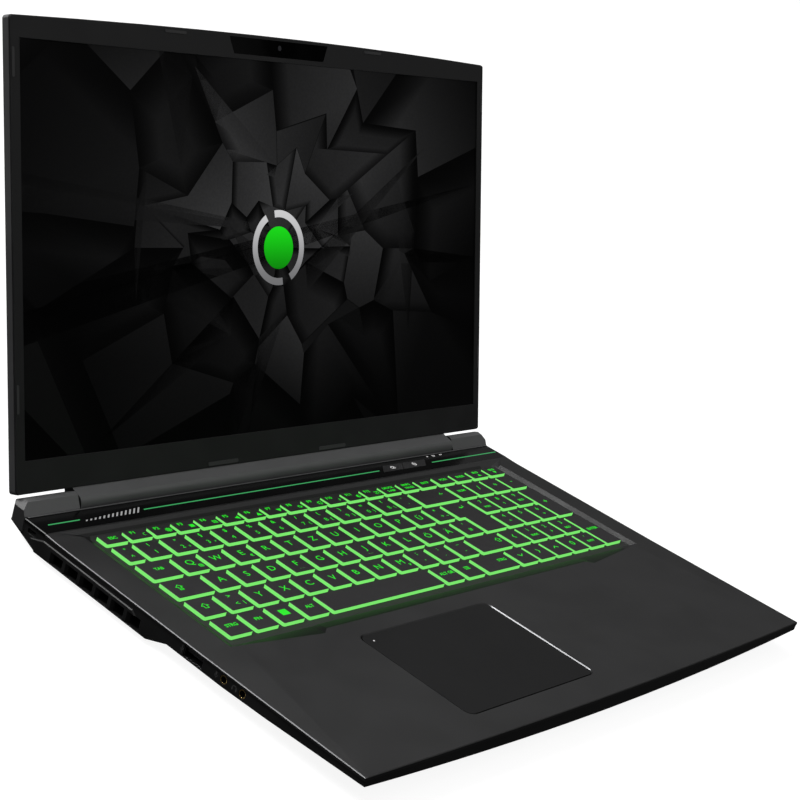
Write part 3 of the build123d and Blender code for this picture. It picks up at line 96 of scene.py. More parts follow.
class Nodes:
    """A node-based material under construction: one Principled shader, and short calls to feed it."""

    def __init__(self, name, color, roughness, metallic=0.0, specular=0.5, coat=0.0, coat_roughness=0.1):
        self.material = bpy.data.materials.new(name)
        self.material.use_nodes = True
        self.tree = self.material.node_tree
        self.shader = self.tree.nodes["Principled BSDF"]
        self.set(self.shader, "Base Color", (*color, 1.0))
        self.set(self.shader, "Roughness", roughness)
        self.set(self.shader, "Metallic", metallic)
        self.set(self.shader, "Specular IOR Level", specular)
        self.set(self.shader, "Coat Weight", coat)
        self.set(self.shader, "Coat Roughness", coat_roughness)
        self.coordinates = self.add("ShaderNodeTexCoord").outputs["Object"]
        self.normal = None

    def add(self, kind, **settings):
        node = self.tree.nodes.new(kind)
        for key, value in settings.items():
            setattr(node, key, value)
        return node

    def set(self, node, socket, value):
        """Links an output socket to an input, or sets the input's own value."""
        if isinstance(value, bpy.types.NodeSocket):
            self.tree.links.new(value, node.inputs[socket])
        else:
            node.inputs[socket].default_value = value

    def noise(self, scale, detail=3.0, stretch=(1, 1, 1)):
        """A noise pattern from 0 to 1. The scale is in cycles per metre."""
        mapping = self.add("ShaderNodeMapping")
        mapping.inputs["Scale"].default_value = stretch
        self.set(mapping, "Vector", self.coordinates)
        noise = self.add("ShaderNodeTexNoise")
        noise.inputs["Scale"].default_value = scale
        noise.inputs["Detail"].default_value = detail
        self.set(noise, "Vector", mapping.outputs[0])
        return noise.outputs["Fac"]

    def range(self, value, low, high, from_low=0.0, from_high=1.0):
        """Turns a value's way from one limit to the other into a smooth step between low and high."""
        node = self.add("ShaderNodeMapRange")
        node.interpolation_type = "SMOOTHSTEP"
        self.set(node, "Value", value)
        self.set(node, "From Min", from_low)
        self.set(node, "From Max", from_high)
        self.set(node, "To Min", low)
        self.set(node, "To Max", high)
        return node.outputs[0]

    def blend(self, factor, color_a, color_b):
        """The first colour where the factor is 0, and the second where it is 1."""
        node = self.add("ShaderNodeMix", data_type="RGBA")
        self.set(node, "Factor", factor)
        for index, color in zip(MIX_COLORS, (color_a, color_b)):
            if isinstance(color, bpy.types.NodeSocket):
                self.tree.links.new(color, node.inputs[index])
            else:
                node.inputs[index].default_value = (*color, 1.0)
        return node.outputs[MIX_RESULT]

    def math(self, operation, a, b=0.0):
        node = self.add("ShaderNodeMath", operation=operation)
        self.set(node, 0, a)
        self.set(node, 1, b)
        return node.outputs[0]

    def axis(self, source, letter):
        node = self.add("ShaderNodeSeparateXYZ")
        self.set(node, 0, source)
        return node.outputs[letter]

    def bump(self, height, distance):
        """Adds a relief of this depth to the shading, over the softened edges if there are any."""
        node = self.add("ShaderNodeBump")
        node.inputs["Strength"].default_value = 1.0
        node.inputs["Distance"].default_value = distance
        self.set(node, "Height", height)
        if self.normal is not None:
            self.set(node, "Normal", self.normal)
        self.normal = node.outputs[0]
        self.set(self.shader, "Normal", self.normal)

    def rounded_edges(self, radius):
        """Softens sharp edges in the shading, as a moulded or painted edge is."""
        node = self.add("ShaderNodeBevel", samples=4)
        node.inputs["Radius"].default_value = radius
        self.normal = node.outputs[0]
        self.set(self.shader, "Normal", self.normal)

    def inside(self, letter, middle, half):
        """1 where an object coordinate lies within this distance of a middle, and 0 beyond it."""
        away = self.math("ABSOLUTE", self.math("SUBTRACT", self.axis(self.coordinates, letter), middle))
        return self.math("LESS_THAN", away, half)

    def facing(self, letter):
        """How far a face looks along an axis, either way: 0 across it and 1 straight along it."""
        source = self.add("ShaderNodeTexCoord")
        return self.math("ABSOLUTE", self.axis(source.outputs["Normal"], letter))

    def sloping(self):
        """1 on faces that slope like a cut bevel, and 0 on level and upright ones."""
        up = self.facing("Z")
        return self.math("MULTIPLY", self.range(up, 1.0, 0.0, *LEVEL), self.range(up, 0.0, 1.0, *UPRIGHT))

    def glow(self, color, strength=1.0):
        lit_color = color if isinstance(color, bpy.types.NodeSocket) else (*color, 1.0)
        self.set(self.shader, "Emission Color", lit_color)
        self.set(self.shader, "Emission Strength", strength)


# noise scales in cycles per metre: blotches of tone and gloss, and the wider patches that hands rub smooth
BLOTCHES = 38.0
RUBBED_PATCHES = 11.0
RUBBED_SPAN = (0.52, 0.7)


def surface(name, color, roughness, grain=2500.0, depth=6e-6, vary=0.18, edge=0.0, wear=None,
            cut=None, painted_shade=None, ends=None, **shader):
    """A moulded or painted surface: a fine grain, blotchy gloss, uneven colour and softened edges.

    Wear scales the colour where hands rub it. Cut makes a mask of the places where a polished bevel goes
    through the paint. A second mask marks painted shade: places given less colour and gloss. Ends is a darker
    colour painted as shade on the faces that look to the left or right.
    """
    n = Nodes(name, color, roughness, **shader)
    if edge:
        n.rounded_edges(edge)
    cloud = n.noise(BLOTCHES, 4.0)
    fine = n.noise(grain, 2.0)
    tone = n.blend(n.range(cloud, 0.0, 1.0, *NOISE_SPAN), scaled(color, 1 - vary), scaled(color, 1 + vary))
    if wear:
        rubbed = n.range(n.noise(RUBBED_PATCHES, 5.0), 0.0, 1.0, *RUBBED_SPAN)
        tone = n.blend(rubbed, tone, scaled(color, wear))
    # painted shade: faces that look to the left or right get this darker colour
    if ends:
        tone = n.blend(n.range(n.facing("X"), 0.0, 1.0, *SIDEWAYS), tone, ends)
    mottle = n.math("ADD", n.math("MULTIPLY", cloud, 0.7), n.math("MULTIPLY", fine, 0.3))
    gloss = n.range(mottle, roughness - 0.05, roughness + 0.06, *NOISE_SPAN)
    # painted shade: the masked places get a darker colour and less gloss
    if painted_shade:
        shade_mask = painted_shade(n)
        tone = n.blend(shade_mask, tone, scaled(color, PAINTED_SHADE_SHARE))
        shine = n.range(shade_mask, shader["specular"], shader["specular"] * PAINTED_SHADE_SHARE)
        n.set(n.shader, "Specular IOR Level", shine)
    if cut:
        bare = cut(n)
        tone = n.blend(bare, tone, CUT_METAL)
        gloss = n.range(bare, gloss, CUT_ROUGHNESS)
        n.set(n.shader, "Metallic", bare)
    n.set(n.shader, "Base Color", tone)
    n.set(n.shader, "Roughness", gloss)
    n.bump(fine, depth)
    return n.material


METAL_EDGE = 0.15 * MM


def metal(name, color, roughness, stretch=(1, 1, 1), grain=900.0, depth=4e-6):
    """Bare or plated metal with the drawn or rolled grain that its stretch gives."""
    n = Nodes(name, color, roughness, metallic=1.0)
    n.rounded_edges(METAL_EDGE)
    streaks = n.noise(grain, 3.0, stretch)
    bright = [min(1.0, c) for c in scaled(color, 1.1)]
    n.set(n.shader, "Base Color", n.blend(streaks, scaled(color, 0.8), bright))
    n.set(n.shader, "Roughness", n.range(streaks, roughness - 0.08, roughness + 0.1, *NOISE_SPAN))
    n.bump(streaks, depth)
    return n.material


# how much of a lit mark's colour its plastic shows by itself
LIT_BODY = 0.02


def lit(name, color):
    """A lit mark or light guide, a little uneven along its length, over a dark translucent plastic."""
    n = Nodes(name, scaled(color, LIT_BODY), 0.45, specular=0.3)
    cloud = n.noise(160.0, 2.0)
    n.glow(n.blend(cloud, scaled(color, 0.86), color))
    n.set(n.shader, "Roughness", n.range(cloud, 0.38, 0.52, *NOISE_SPAN))
    n.bump(n.noise(1800.0, 2.0), 2e-6)
    return n.material


# the polished bevels of the deck's sides, which are less bright, and of the touchpad's rim
CUT_METAL = (0.105, 0.105, 0.108)
CUT_ROUGHNESS = 0.32
CUT_REACH = 1.5 * MM
SIDE_CUT = 0.5


def deck_bevels(n):
    """Where the deck's side edges and the left and right of the touchpad's rim are cut bright."""
    half = (deck_high.x - deck_low.x) / 2
    core = n.inside("X", deck_low.x + half, half - CUT_REACH)
    sides = n.math("MULTIPLY", n.math("SUBTRACT", 1.0, core), SIDE_CUT)
    low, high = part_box("touchpad")
    middle, reach = (low + high) / 2, (high - low) / 2
    outer = n.inside("X", middle.x, reach.x + CUT_REACH)
    band = n.math("SUBTRACT", outer, n.inside("X", middle.x, reach.x - CUT_REACH))
    rim = n.math("MULTIPLY", band, n.inside("Y", middle.y, reach.y + CUT_REACH))
    return n.math("MULTIPLY", n.math("MAXIMUM", sides, rim), n.sloping())


# The sunken keyboard's walls, given painted shade: how much of the paint's colour and gloss they keep, how
# far they reach beyond the keyboard's frame at the left and the front, and how far before its right end they
# stop.
PAINTED_SHADE_SHARE = 0.5
LEFT_WALL = 6 * MM
FRONT_WALL = 12 * MM
RIGHT_WALL = 14 * MM


def recess_walls_painted_shade(n):
    """Painted shade where the deck slopes down to the keys at the left and front; the other walls catch the
    light.
    """
    low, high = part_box("keyboard_frame")
    left, right = low.x - LEFT_WALL, high.x - RIGHT_WALL
    front, rear = low.y - FRONT_WALL, high.y
    across = n.inside("X", (left + right) / 2, (right - left) / 2)
    along = n.inside("Y", (front + rear) / 2, (rear - front) / 2)
    slope = n.range(n.facing("Z"), 1.0, 0.0, *OFF_LEVEL)
    return n.math("MULTIPLY", n.math("MULTIPLY", across, along), slope)


KEY_CAP = (0.0095, 0.0090, 0.0098)
KEY_SKIRT = (0.02, 0.08, 0.02)
KEY_LIGHT = (0.245, 1.0, 0.19)
KEY_GLOW = 0.82


def key_material(name):
    """A key: a dark fine-grained cap over a lit translucent skirt."""
    n = Nodes(name, KEY_CAP, 0.5, specular=0.24)
    cloud = n.noise(60.0, 4.0)
    fine = n.noise(3200.0, 2.0)
    side = n.range(n.facing("Z"), 1.0, 0.0, *KEY_SIDE)
    tone = n.blend(cloud, scaled(KEY_CAP, 0.88), scaled(KEY_CAP, 1.12))
    n.set(n.shader, "Base Color", n.blend(side, tone, KEY_SKIRT))
    n.set(n.shader, "Roughness", n.range(cloud, 0.44, 0.56, *NOISE_SPAN))
    glow = n.blend(n.noise(210.0, 1.0), scaled(KEY_LIGHT, 0.9), KEY_LIGHT)
    n.glow(glow, n.math("MULTIPLY", side, KEY_GLOW))
    n.bump(fine, 5e-6)
    return n.material


materials = {
    # the deck's paint carries painted shade on the left and front walls of the sunken keyboard
    "deck": surface("deck_paint_and_recess_shade", (0.0088, 0.0088, 0.0091), 0.40, grain=3000.0, depth=5e-6, edge=0.12 * MM,
                    vary=0.1, wear=1.15, cut=deck_bevels, painted_shade=recess_walls_painted_shade, specular=0.25),
    "shell": surface("shell_plastic", (0.0070, 0.0070, 0.0072), 0.42, grain=1800.0, depth=8e-6,
                     edge=0.3 * MM, specular=0.20),
    # the hinge paint's faces that look to the left or right are darkened as painted shade
    "cap": surface("hinge_paint_and_side_shade", (0.085, 0.086, 0.087), 0.40, grain=3000.0, depth=4e-6, vary=0.05,
                   edge=0.2 * MM, ends=(0.018, 0.018, 0.0185), specular=0.32),
    "lid": surface("lid_paint", (0.0360, 0.0360, 0.0370), 0.38, grain=2600.0, depth=5e-6, vary=0.08,
                   edge=0.5 * MM, wear=1.1, specular=0.4),
    "bezel": surface("bezel_plastic", (0.0095, 0.0095, 0.0100), 0.55, grain=2400.0, depth=8e-6,
                     edge=0.25 * MM, specular=0.22),
    "panel": surface("panel_film", (0.0012, 0.0012, 0.0014), 0.5, grain=4000.0, depth=2e-6, specular=0.1),
    "window": surface("camera_window_gloss", (0.0004, 0.0004, 0.0004), 0.10, depth=1e-6, specular=0.02),
    "lens": surface("lens_glass", (0.004, 0.004, 0.010), 0.06, depth=0.5e-6, coat=1.0, coat_roughness=0.02),
    "strip": surface("strip_gloss", (0.0016, 0.0016, 0.0017), 0.16, depth=1e-6, edge=0.15 * MM,
                     specular=0.2),
    "button": surface("button_satin", (0.0240, 0.0240, 0.0250), 0.4, edge=0.15 * MM, specular=0.3),
    "key_floor": surface("key_frame_plastic", (0.0105, 0.0115, 0.0105), 0.6, grain=2500.0, depth=9e-6,
                         specular=0.2),
    "pad": surface("touchpad_film", (0.0022, 0.0022, 0.0024), 0.42, grain=3600.0, depth=3e-6, vary=0.08,
                   edge=0.12 * MM, wear=0.9, specular=0.15),
    "rubber": surface("rubber_black", (0.014, 0.014, 0.014), 0.75, grain=1500.0, depth=1.5e-5, specular=0.25),
    "bumper": surface("bumper_rubber", (0.034, 0.034, 0.035), 0.6, grain=1500.0, depth=8e-6, specular=0.35),
    "jack": surface("jack_plastic", (0.004, 0.004, 0.004), 0.3, specular=0.3),
    "fan": surface("fan_plastic", (0.010, 0.010, 0.011), 0.5, specular=0.35),
    "board": surface("board_mask", (0.012, 0.045, 0.022), 0.35, grain=700.0, depth=1e-5, vary=0.3),
    "chip": surface("chip_resin", (0.014, 0.014, 0.015), 0.35, grain=2000.0, vary=0.25),
    "battery": surface("battery_wrap", (0.013, 0.013, 0.014), 0.55, grain=900.0, depth=2e-5),
    "steel": metal("steel_plate", (0.46, 0.46, 0.47), 0.35, stretch=(0.04, 1, 1)),
    "dark_steel": metal("screw_black_oxide", (0.06, 0.06, 0.065), 0.4),
    "copper": metal("copper_bare", (0.72, 0.38, 0.22), 0.3, stretch=(0.1, 1, 1)),
    "fins": metal("fin_aluminium", (0.72, 0.73, 0.75), 0.35, stretch=(1, 0.05, 1)),
    "plate": metal("socket_plating", (0.09, 0.09, 0.095), 0.35),
    "gold": metal("contact_gold", (0.85, 0.60, 0.22), 0.25),
    "key": key_material("key_cap_and_skirt"),
    "legend": lit("legend_green", (0.012, 0.86, 0.012)),
    "light_bar": lit("strip_light_green", (0.040, 0.36, 0.11)),
    "white_mark": lit("mark_white", (0.72, 0.71, 0.71)),
    # the strip's printed silver bars glow: a painted sheen, as the print is no lamp
    "print_mark_painted_glow": lit("mark_silver_painted_glow", (0.36, 0.36, 0.36)),
    "faint_mark": surface("mark_grey", (0.035, 0.035, 0.036), 0.5, depth=1e-6),
}

NODE_MATERIALS = {
    "deck": ["palmrest_deck"],
    "shell": ["bottom_cover"],
    "cap": ["hinge_cap_left", "hinge_cap_right", "hinge_spine"],
    "lid": ["lid_back_cover"],
    "bezel": ["display_bezel"],
    "panel": ["lcd_panel"],
    "window": ["camera_window"],
    "lens": ["camera_module"],
    "strip": ["status_strip"],
    "light_bar": ["strip_light_guides"],
    "button": ["power_button", "mode_button"],
    "key_floor": ["keyboard_frame"],
    "pad": ["touchpad"],
    "rubber": ["rubber_feet"],
    "bumper": ["bezel_bumpers"],
    "jack": ["audio_jacks", "dc_inlet", "network_port", "card_reader", "speakers"],
    "fan": ["fan_housing_left", "fan_housing_right", "fan_rotor_left", "fan_rotor_right"],
    "board": ["motherboard", "memory_modules", "solid_state_drive", "wireless_card"],
    "chip": ["processor_chips", "key_domes"],
    "battery": ["battery"],
    "steel": ["keyboard_plate", "lock_slot_plate", "hinge_brackets", "hinge_arms"],
    "dark_steel": ["bottom_screws"],
    "copper": ["cold_plates", "heat_pipes"],
    "fins": ["heatsink_fins"],
    "plate": ["usb_ports", "video_ports", "usb_c_port"],
}


def dress(node, material):
    """Gives a CAD node its material."""
    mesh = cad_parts[node].data
    if not mesh.materials:
        mesh.materials.append(material)
    for place in range(len(mesh.materials)):
        mesh.materials[place] = material


for look, nodes in NODE_MATERIALS.items():
    for node in nodes:
        dress(node, materials[look])
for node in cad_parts:
    if node.startswith("key_") and node != "key_domes" or node.startswith("keys_"):
        dress(node, materials["key"])


# ---------------------------------------------------------------- printed and lit marks

# how high a capital stands, as a share of the font's size
CAPITAL_SHARE = 0.69
# words under this height are drawn with a heavier stroke, as a share of their height
LARGE_WORDS = 2.9
BOLD_STROKE = 0.028
# how thick a word is drawn, before it is scaled to the rise of the marks
WORD_DEPTH = 0.02
# the smallest share that a mitred corner's width is divided by, so that sharp corners stay short
MITRE_LIMIT = 0.35


def mesh_object(name, bm, place, material):
    """A new object in the scene, from a mesh under construction that is moved to its place."""
    mesh = bpy.data.meshes.new(name)
    bm.to_mesh(mesh)
    bm.free()
    mesh.transform(place)
    mesh.materials.append(material)
    made = bpy.data.objects.new(name, mesh)
    bpy.context.scene.collection.objects.link(made)
    return made


def circle(centre, radius, turns):
    """The points of a circle at these angles."""
    return [(centre[0] + radius * math.cos(t), centre[1] + radius * math.sin(t)) for t in turns]


def rectangle(x, y, width, height):
    """The corners of a rectangle round this middle."""
    return [(x - width / 2, y - height / 2), (x + width / 2, y - height / 2),
            (x + width / 2, y + height / 2), (x - width / 2, y + height / 2)]


def shifted(points, place):
    return [(x + place[0], y + place[1]) for x, y in points]


class Marks:
    """Flat raised marks on one plane, drawn in millimetres and made into one mesh."""

    def __init__(self, plane, rise=0.03):
        self.plane = plane
        self.rise = rise * MM
        self.bm = bmesh.new()

    def fill(self, points):
        """A raised plate with this outline."""
        face = self.bm.faces.new([self.bm.verts.new((x * MM, y * MM, 0)) for x, y in points])
        face.normal_update()
        if face.normal.z < 0:
            face.normal_flip()
        raised = bmesh.ops.extrude_face_region(self.bm, geom=[face])
        top = [v for v in raised["geom"] if isinstance(v, bmesh.types.BMVert)]
        bmesh.ops.translate(self.bm, verts=top, vec=(0, 0, self.rise))

    def stroke(self, points, width, closed=False):
        """A line of even width along a path, with mitred corners."""
        path = [Vector(p) for p in points]
        count = len(path)
        left, right = [], []
        for i, here in enumerate(path):
            before = path[i - 1] if i > 0 or closed else None
            after = path[(i + 1) % count] if i < count - 1 or closed else None
            legs = [(before, here), (here, after)]
            ways = [(b - a).normalized() for a, b in legs if a is not None and b is not None]
            normals = [Vector((-way.y, way.x)) for way in ways]
            mitre = sum(normals, Vector((0, 0))).normalized()
            reach = width / 2 / max(MITRE_LIMIT, mitre.dot(normals[0]))
            left.append(here + mitre * reach)
            right.append(here - mitre * reach)
        for i in range(count if closed else count - 1):
            j = (i + 1) % count
            self.fill([left[i], right[i], right[j], left[j]])

    def arc(self, centre, radius, width, start=0.0, end=360.0, steps=20):
        """A round line from one angle to another, in degrees."""
        full = abs(end - start) >= 360
        points = steps if full else steps + 1
        turns = [math.radians(start + (end - start) * i / steps) for i in range(points)]
        self.stroke(circle(centre, radius, turns), width, closed=full)

    def disc(self, centre, radius, steps=20):
        self.fill(circle(centre, radius, [2 * math.pi * i / steps for i in range(steps)]))

    def text(self, words, centre, height, stretch):
        """Generic capitals or a sign, centred on a place. The height is a capital's."""
        curve = bpy.data.curves.new("words", "FONT")
        curve.body = words
        curve.size = height / CAPITAL_SHARE
        if height < LARGE_WORDS:
            curve.offset = BOLD_STROKE * height
        curve.resolution_u = 3
        curve.extrude = WORD_DEPTH / 2
        drawn = bpy.data.objects.new("words", curve)
        bpy.context.scene.collection.objects.link(drawn)
        bpy.context.view_layer.update()
        mesh = bpy.data.meshes.new_from_object(drawn)
        bpy.data.objects.remove(drawn)
        bpy.data.curves.remove(curve)
        xs = [v.co.x for v in mesh.vertices]
        ys = [v.co.y for v in mesh.vertices]
        shift = Vector(((min(xs) + max(xs)) / 2, (min(ys) + max(ys)) / 2, 0))
        grow = Matrix.Diagonal((stretch * MM, MM, self.rise / WORD_DEPTH, 1))
        move = Matrix.Translation((centre[0] * MM, centre[1] * MM, self.rise / 2))
        mesh.transform(move @ grow @ Matrix.Translation(-shift))
        self.bm.from_mesh(mesh)
        bpy.data.meshes.remove(mesh)

    def make(self, name, body, material):
        """Ends the drawing as one piece that rides a body."""
        bmesh.ops.recalc_face_normals(self.bm, faces=self.bm.faces)
        piece = mesh_object(name, self.bm, self.plane, material)
        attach(piece, body)
        return piece


# ---------------------------------------------------------------- key legends

# a sign's place from the middle of its key, and its height
LETTER = ((0.3, 0.5), 4.4)
LOWER = ((0.3, -2.8), 3.1)
UPPER = ((0.3, 4.3), 2.7)
CORNER = ((4.7, -3.4), 2.1)
SMALL = ((0.4, 0.6), 2.4)
F_NAME = ((-2.1, 2.3), 2.4)
F_SIGN = ((4.0, -1.0), 2.5)
ROW_UPPER = ((0.3, 2.2), 2.0)
ROW_LOWER = ((0.3, -1.4), 2.0)
ROW_MIDDLE = ((0.3, 0.6), 2.2)
PAD_UPPER = ((0.3, 3.9), 3.1)
PAD_LOWER = ((0.3, -2.3), 1.9)
# how much wider than the font signs of one or two letters are, and words
SIGN_STRETCH = 1.15
WORD_STRETCH = 1.0
# keys whose rear edges are less than about this far apart are in one row
KEY_ROW = 6.0


def letter(name, corner=None):
    return [(name, LETTER)] + ([(corner, CORNER)] if corner else [])


def pair(low, high, corner=None):
    return [(low, LOWER), (high, UPPER)] + ([(corner, CORNER)] if corner else [])


def pad(digit, word=None):
    return [(digit, PAD_UPPER)] + ([(word, PAD_LOWER)] if word else [])


def at(text, x, y, height):
    return [(text, ((x, y), height))]


F_SIGNS = ["☾", "⚙", "■", "▤", "◀", "▲", "▼", "☼", "☀", "♪",
           "◐", "✈"]
LEGENDS = {
    "keys_function_row": [[("ESC", SMALL)]]
    + [[(f"F{n + 1}", F_NAME), (sign, F_SIGN)] for n, sign in enumerate(F_SIGNS)]
    + [[("DRUCK", ROW_UPPER), ("S-ABF", ROW_LOWER)], [("EINFG", ROW_UPPER), ("PAUSE", ROW_LOWER)]]
    + [[(word, ROW_MIDDLE)] for word in ("ENTF", "POS1", "ENDE")]
    + [[("BILD", ROW_UPPER), (arrow, ROW_LOWER)] for arrow in ("▲", "▼")],
    "keys_number_row": [pair("^", "°"), pair("1", "!"), pair("2", '"', "²"),
                        pair("3", "§", "³"), pair("4", "$"), pair("5", "%"), pair("6", "&"),
                        pair("7", "/", "{"), pair("8", "(", "["), pair("9", ")", "]"), pair("0", "=", "}"),
                        pair("ß", "?", "\\"), pair("´", "`")],
    "key_backspace": [at("←", 8.0, 1.2, 2.6)],
    "key_tab": [at("TAB", 0.0, 0.8, 2.3)],
    "keys_upper_letters": [letter("Q", "@")] + [letter(c) for c in "W"] + [letter("E", "€")]
    + [letter(c) for c in "RTZUIOPÜ"] + [pair("+", "*", "~")],
    "key_caps_lock": [at("⇪", -4.8, 0.8, 3.8)],
    "keys_home_letters": [letter(c) for c in "ASDFGHJKLÖÄ"] + [pair("#", "'")],
    "keys_shift": [at("⇧", 0.2, 0.8, 4.0), at("⇧", 9.8, 0.8, 4.0)],
    "keys_lower_letters": [pair("<", ">", "|")] + [letter(c) for c in "YXCVBN"] + [letter("M", "µ")]
    + [pair(",", ";"), pair(".", ":"), pair("-", "_")],
    "keys_modifiers": [[("STRG", SMALL)], [("FN", SMALL)], at("■", 0.3, 0.6, 4.6), [("ALT", SMALL)],
                       [("ALT GR", SMALL)], at("☰", 0.3, 0.8, 3.4), at("STRG", 7.2, 0.8, 2.3)],
    "key_space": [[]],
    "keys_arrows": [at("‹", 0.0, 0.6, 6.0), at("⌄", 0.0, 0.6, 5.0), at("›", 0.0, 0.6, 6.0),
                    at("⌃", 0.0, 0.6, 5.0)],
    "keys_numpad": [[("NUM", ROW_MIDDLE)], [("/", LETTER)], [("*", LETTER)], [("-", LETTER)],
                    pad("7", "POS1"), pad("8", "↑"), pad("9", "BILD"),
                    pad("4", "←"), pad("5"), pad("6", "→"),
                    pad("1", "ENDE"), pad("2", "↓"), pad("3", "BILD"),
                    [("0", LETTER)], [(",", UPPER), ("ENTF", ROW_LOWER)]],
    "keys_numpad_tall": [[("+", LETTER)], [("ENTER", SMALL)]],
    "key_enter": [at("↵", 1.8, 12.0, 3.4)],
}


def islands(node):
    """The low and high corners of a CAD node's separate solids, in rows from the back, each from the left."""
    bm = bmesh.new()
    bm.from_mesh(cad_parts[node].data)
    bmesh.ops.remove_doubles(bm, verts=bm.verts, dist=1e-6)
    left = set(bm.verts)
    boxes = []
    while left:
        edge = [left.pop()]
        found = list(edge)
        while edge:
            vert = edge.pop()
            for link in vert.link_edges:
                other = link.other_vert(vert)
                if other in left:
                    left.remove(other)
                    edge.append(other)
                    found.append(other)
        low = Vector([min(v.co[i] for v in found) for i in range(3)])
        high = Vector([max(v.co[i] for v in found) for i in range(3)])
        boxes.append((low, high))
    bm.free()
    # a tall key belongs to the row of its rear edge
    return sorted(boxes, key=lambda box: (-round(box[1].y / MM / KEY_ROW), box[0].x))


def make_legends(node, legends):
    keys = islands(node)
    assert len(keys) == len(legends), (node, len(keys), len(legends))
    marks = Marks(Matrix.Identity(4))
    for (low, high), legend in zip(keys, legends):
        middle = (low + high) / 2 / MM
        for text, (offset, height) in legend:
            stretch = WORD_STRETCH if len(text) > 2 else SIGN_STRETCH
            marks.text(text, (middle.x + offset[0], middle.y + offset[1]), height, stretch)
    marks.plane = Matrix.Translation((0, 0, keys[0][1].z))
    marks.make(f"{node}_legends", node, materials["legend"])


for node, legends in LEGENDS.items():
    if any(legends):
        make_legends(node, legends)

# ---------------------------------------------------------------- marks on the strip and the left side

# the strip's mark: slanted bars, each a little higher than the one before
STRIP_SLANT = 0.93
BARS_START = (31.0, 231.6)
BARS = 13
BAR_PITCH = 3.0
BAR_WIDTH = 1.2
BAR_HEIGHT = 1.2
BAR_GROWTH = 0.32


def lean(points):
    """Leans a drawing to the right, as the strip's buttons do."""
    return [(x + y * STRIP_SLANT, y) for x, y in points]


def make_strip_mark():
    """Slanted bars of growing height, where the strip carries a mark, printed silver and glowing as a painted
    sheen.
    """
    marks = Marks(deck_frame)
    for place in range(BARS):
        height = BAR_HEIGHT + BAR_GROWTH * place
        bar = lean([(0, 0), (BAR_WIDTH, 0), (BAR_WIDTH, height), (0, height)])
        marks.fill(shifted(bar, (BARS_START[0] + place * BAR_PITCH, BARS_START[1])))
    marks.make("strip_mark", "base", materials["print_mark_painted_glow"])


# the middles of the two buttons' signs, and how far the buttons' tops stand above the deck
POWER_SIGN = (307.8, 235.1)
MODE_SIGN = (286.3, 234.6)
BUTTON_RISE = 0.1


def make_button_signs():
    """A broken ring with a bar on the power button, and a dial with a needle on the other one."""
    top = deck_frame @ Matrix.Translation((0, 0, BUTTON_RISE * MM))
    power = Marks(top)
    power.arc(POWER_SIGN, 1.4, 0.6, -235, 55)
    power.stroke(shifted([(0, -0.1), (0, 2.0)], POWER_SIGN), 0.6)
    power.make("power_sign", "power_button", materials["white_mark"])
    mode = Marks(top)
    mode.arc(MODE_SIGN, 1.75, 0.6, 0, 180)
    mode.stroke(shifted([(0, -0.1), (0.9, 1.0)], MODE_SIGN), 0.55)
    mode.stroke(shifted([(-1.8, -0.6), (1.8, -0.6)], MODE_SIGN), 0.5)
    mode.make("mode_sign", "mode_button", materials["white_mark"])


# the three status signs stand in one row
STATUS_Y = 241.2
STATUS_XS = (328.5, 334.7, 341.7)


def make_status_signs():
    """A dot, a small box, and a dot with a slash beside it."""
    first, second, third = [(x, STATUS_Y) for x in STATUS_XS]
    marks = Marks(deck_frame)
    for place in (first, third):
        marks.disc(place, 0.62, 12)
    marks.stroke(rectangle(*second, 1.8, 1.2), 0.4, closed=True)
    marks.stroke(shifted([(1.2, -0.3), (2.1, 0.7)], third), 0.4)
    marks.make("status_signs", "base", materials["white_mark"])


TOUCHPAD_DOT = (98.7, 83.3)


def make_touchpad_dot():
    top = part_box("touchpad")[1].z
    marks = Marks(Matrix.Translation((deck_frame.translation.x, deck_frame.translation.y, top)))
    marks.disc(TOUCHPAD_DOT, 0.55, 14)
    marks.make("touchpad_dot", "touchpad", materials["white_mark"])


# the F and J keys in their row, and their bars: how far from the keys' front edge, and their size
HOME_KEYS = (3, 6)
BUMP_PLACE = 3.0
BUMP_LENGTH = 3.4
BUMP_WIDTH = 0.7
BUMP_RISE = 0.18


def make_home_bumps():
    """The small raised bars on the F and J keys."""
    keys = islands("keys_home_letters")
    marks = Marks(Matrix.Translation((0, 0, keys[0][1].z)), rise=BUMP_RISE)
    for place in HOME_KEYS:
        low, high = keys[place]
        x, y = (low.x + high.x) / 2 / MM, low.y / MM + BUMP_PLACE
        marks.stroke([(x - BUMP_LENGTH / 2, y), (x + BUMP_LENGTH / 2, y)], BUMP_WIDTH)
    bumps = marks.make("home_bumps", "keys_home_letters", materials["key"])
    bevel = bumps.modifiers.new("soft", "BEVEL")
    bevel.width = 0.08 * MM
    bevel.segments = 2


# the rail's outline across the strip, as y and z, and how far it stops before the deck's ends
RAIL_SECTION = [(242.65, 0.1), (242.65, 0.42), (242.8, 0.55), (243.25, 0.55), (243.25, 0.1)]
RAIL_END = 1.2


def make_strip_rail():
    """The thin painted rail along the strip's rear edge."""
    bm = bmesh.new()
    ends = [[bm.verts.new((x * MM, y * MM, z * MM)) for y, z in RAIL_SECTION]
            for x in (RAIL_END, WIDTH - RAIL_END)]
    for i in range(len(RAIL_SECTION)):
        j = (i + 1) % len(RAIL_SECTION)
        bm.faces.new([ends[0][i], ends[0][j], ends[1][j], ends[1][i]])
    for end in ends:
        bm.faces.new(end)
    bmesh.ops.recalc_face_normals(bm, faces=bm.faces)
    rail = mesh_object("strip_rail", bm, deck_frame, materials["cap"])
    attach(rail, "base")


# how far the side surface stands inside the deck's edge, and where the audio jacks sit in it
SIDE_SET_IN = 0.6
JACK_YS = (77.2, 90.0)
JACK_Z = -5.0
# how far inside the deck's edge the jacks' rings lie
JACK_NOSE = 0.9
# how far behind the deck's front corner the signs of the left side are
HEADSET_Y = 82.5
MICROPHONE_Y = 95.0
FORK_Y = 119.0


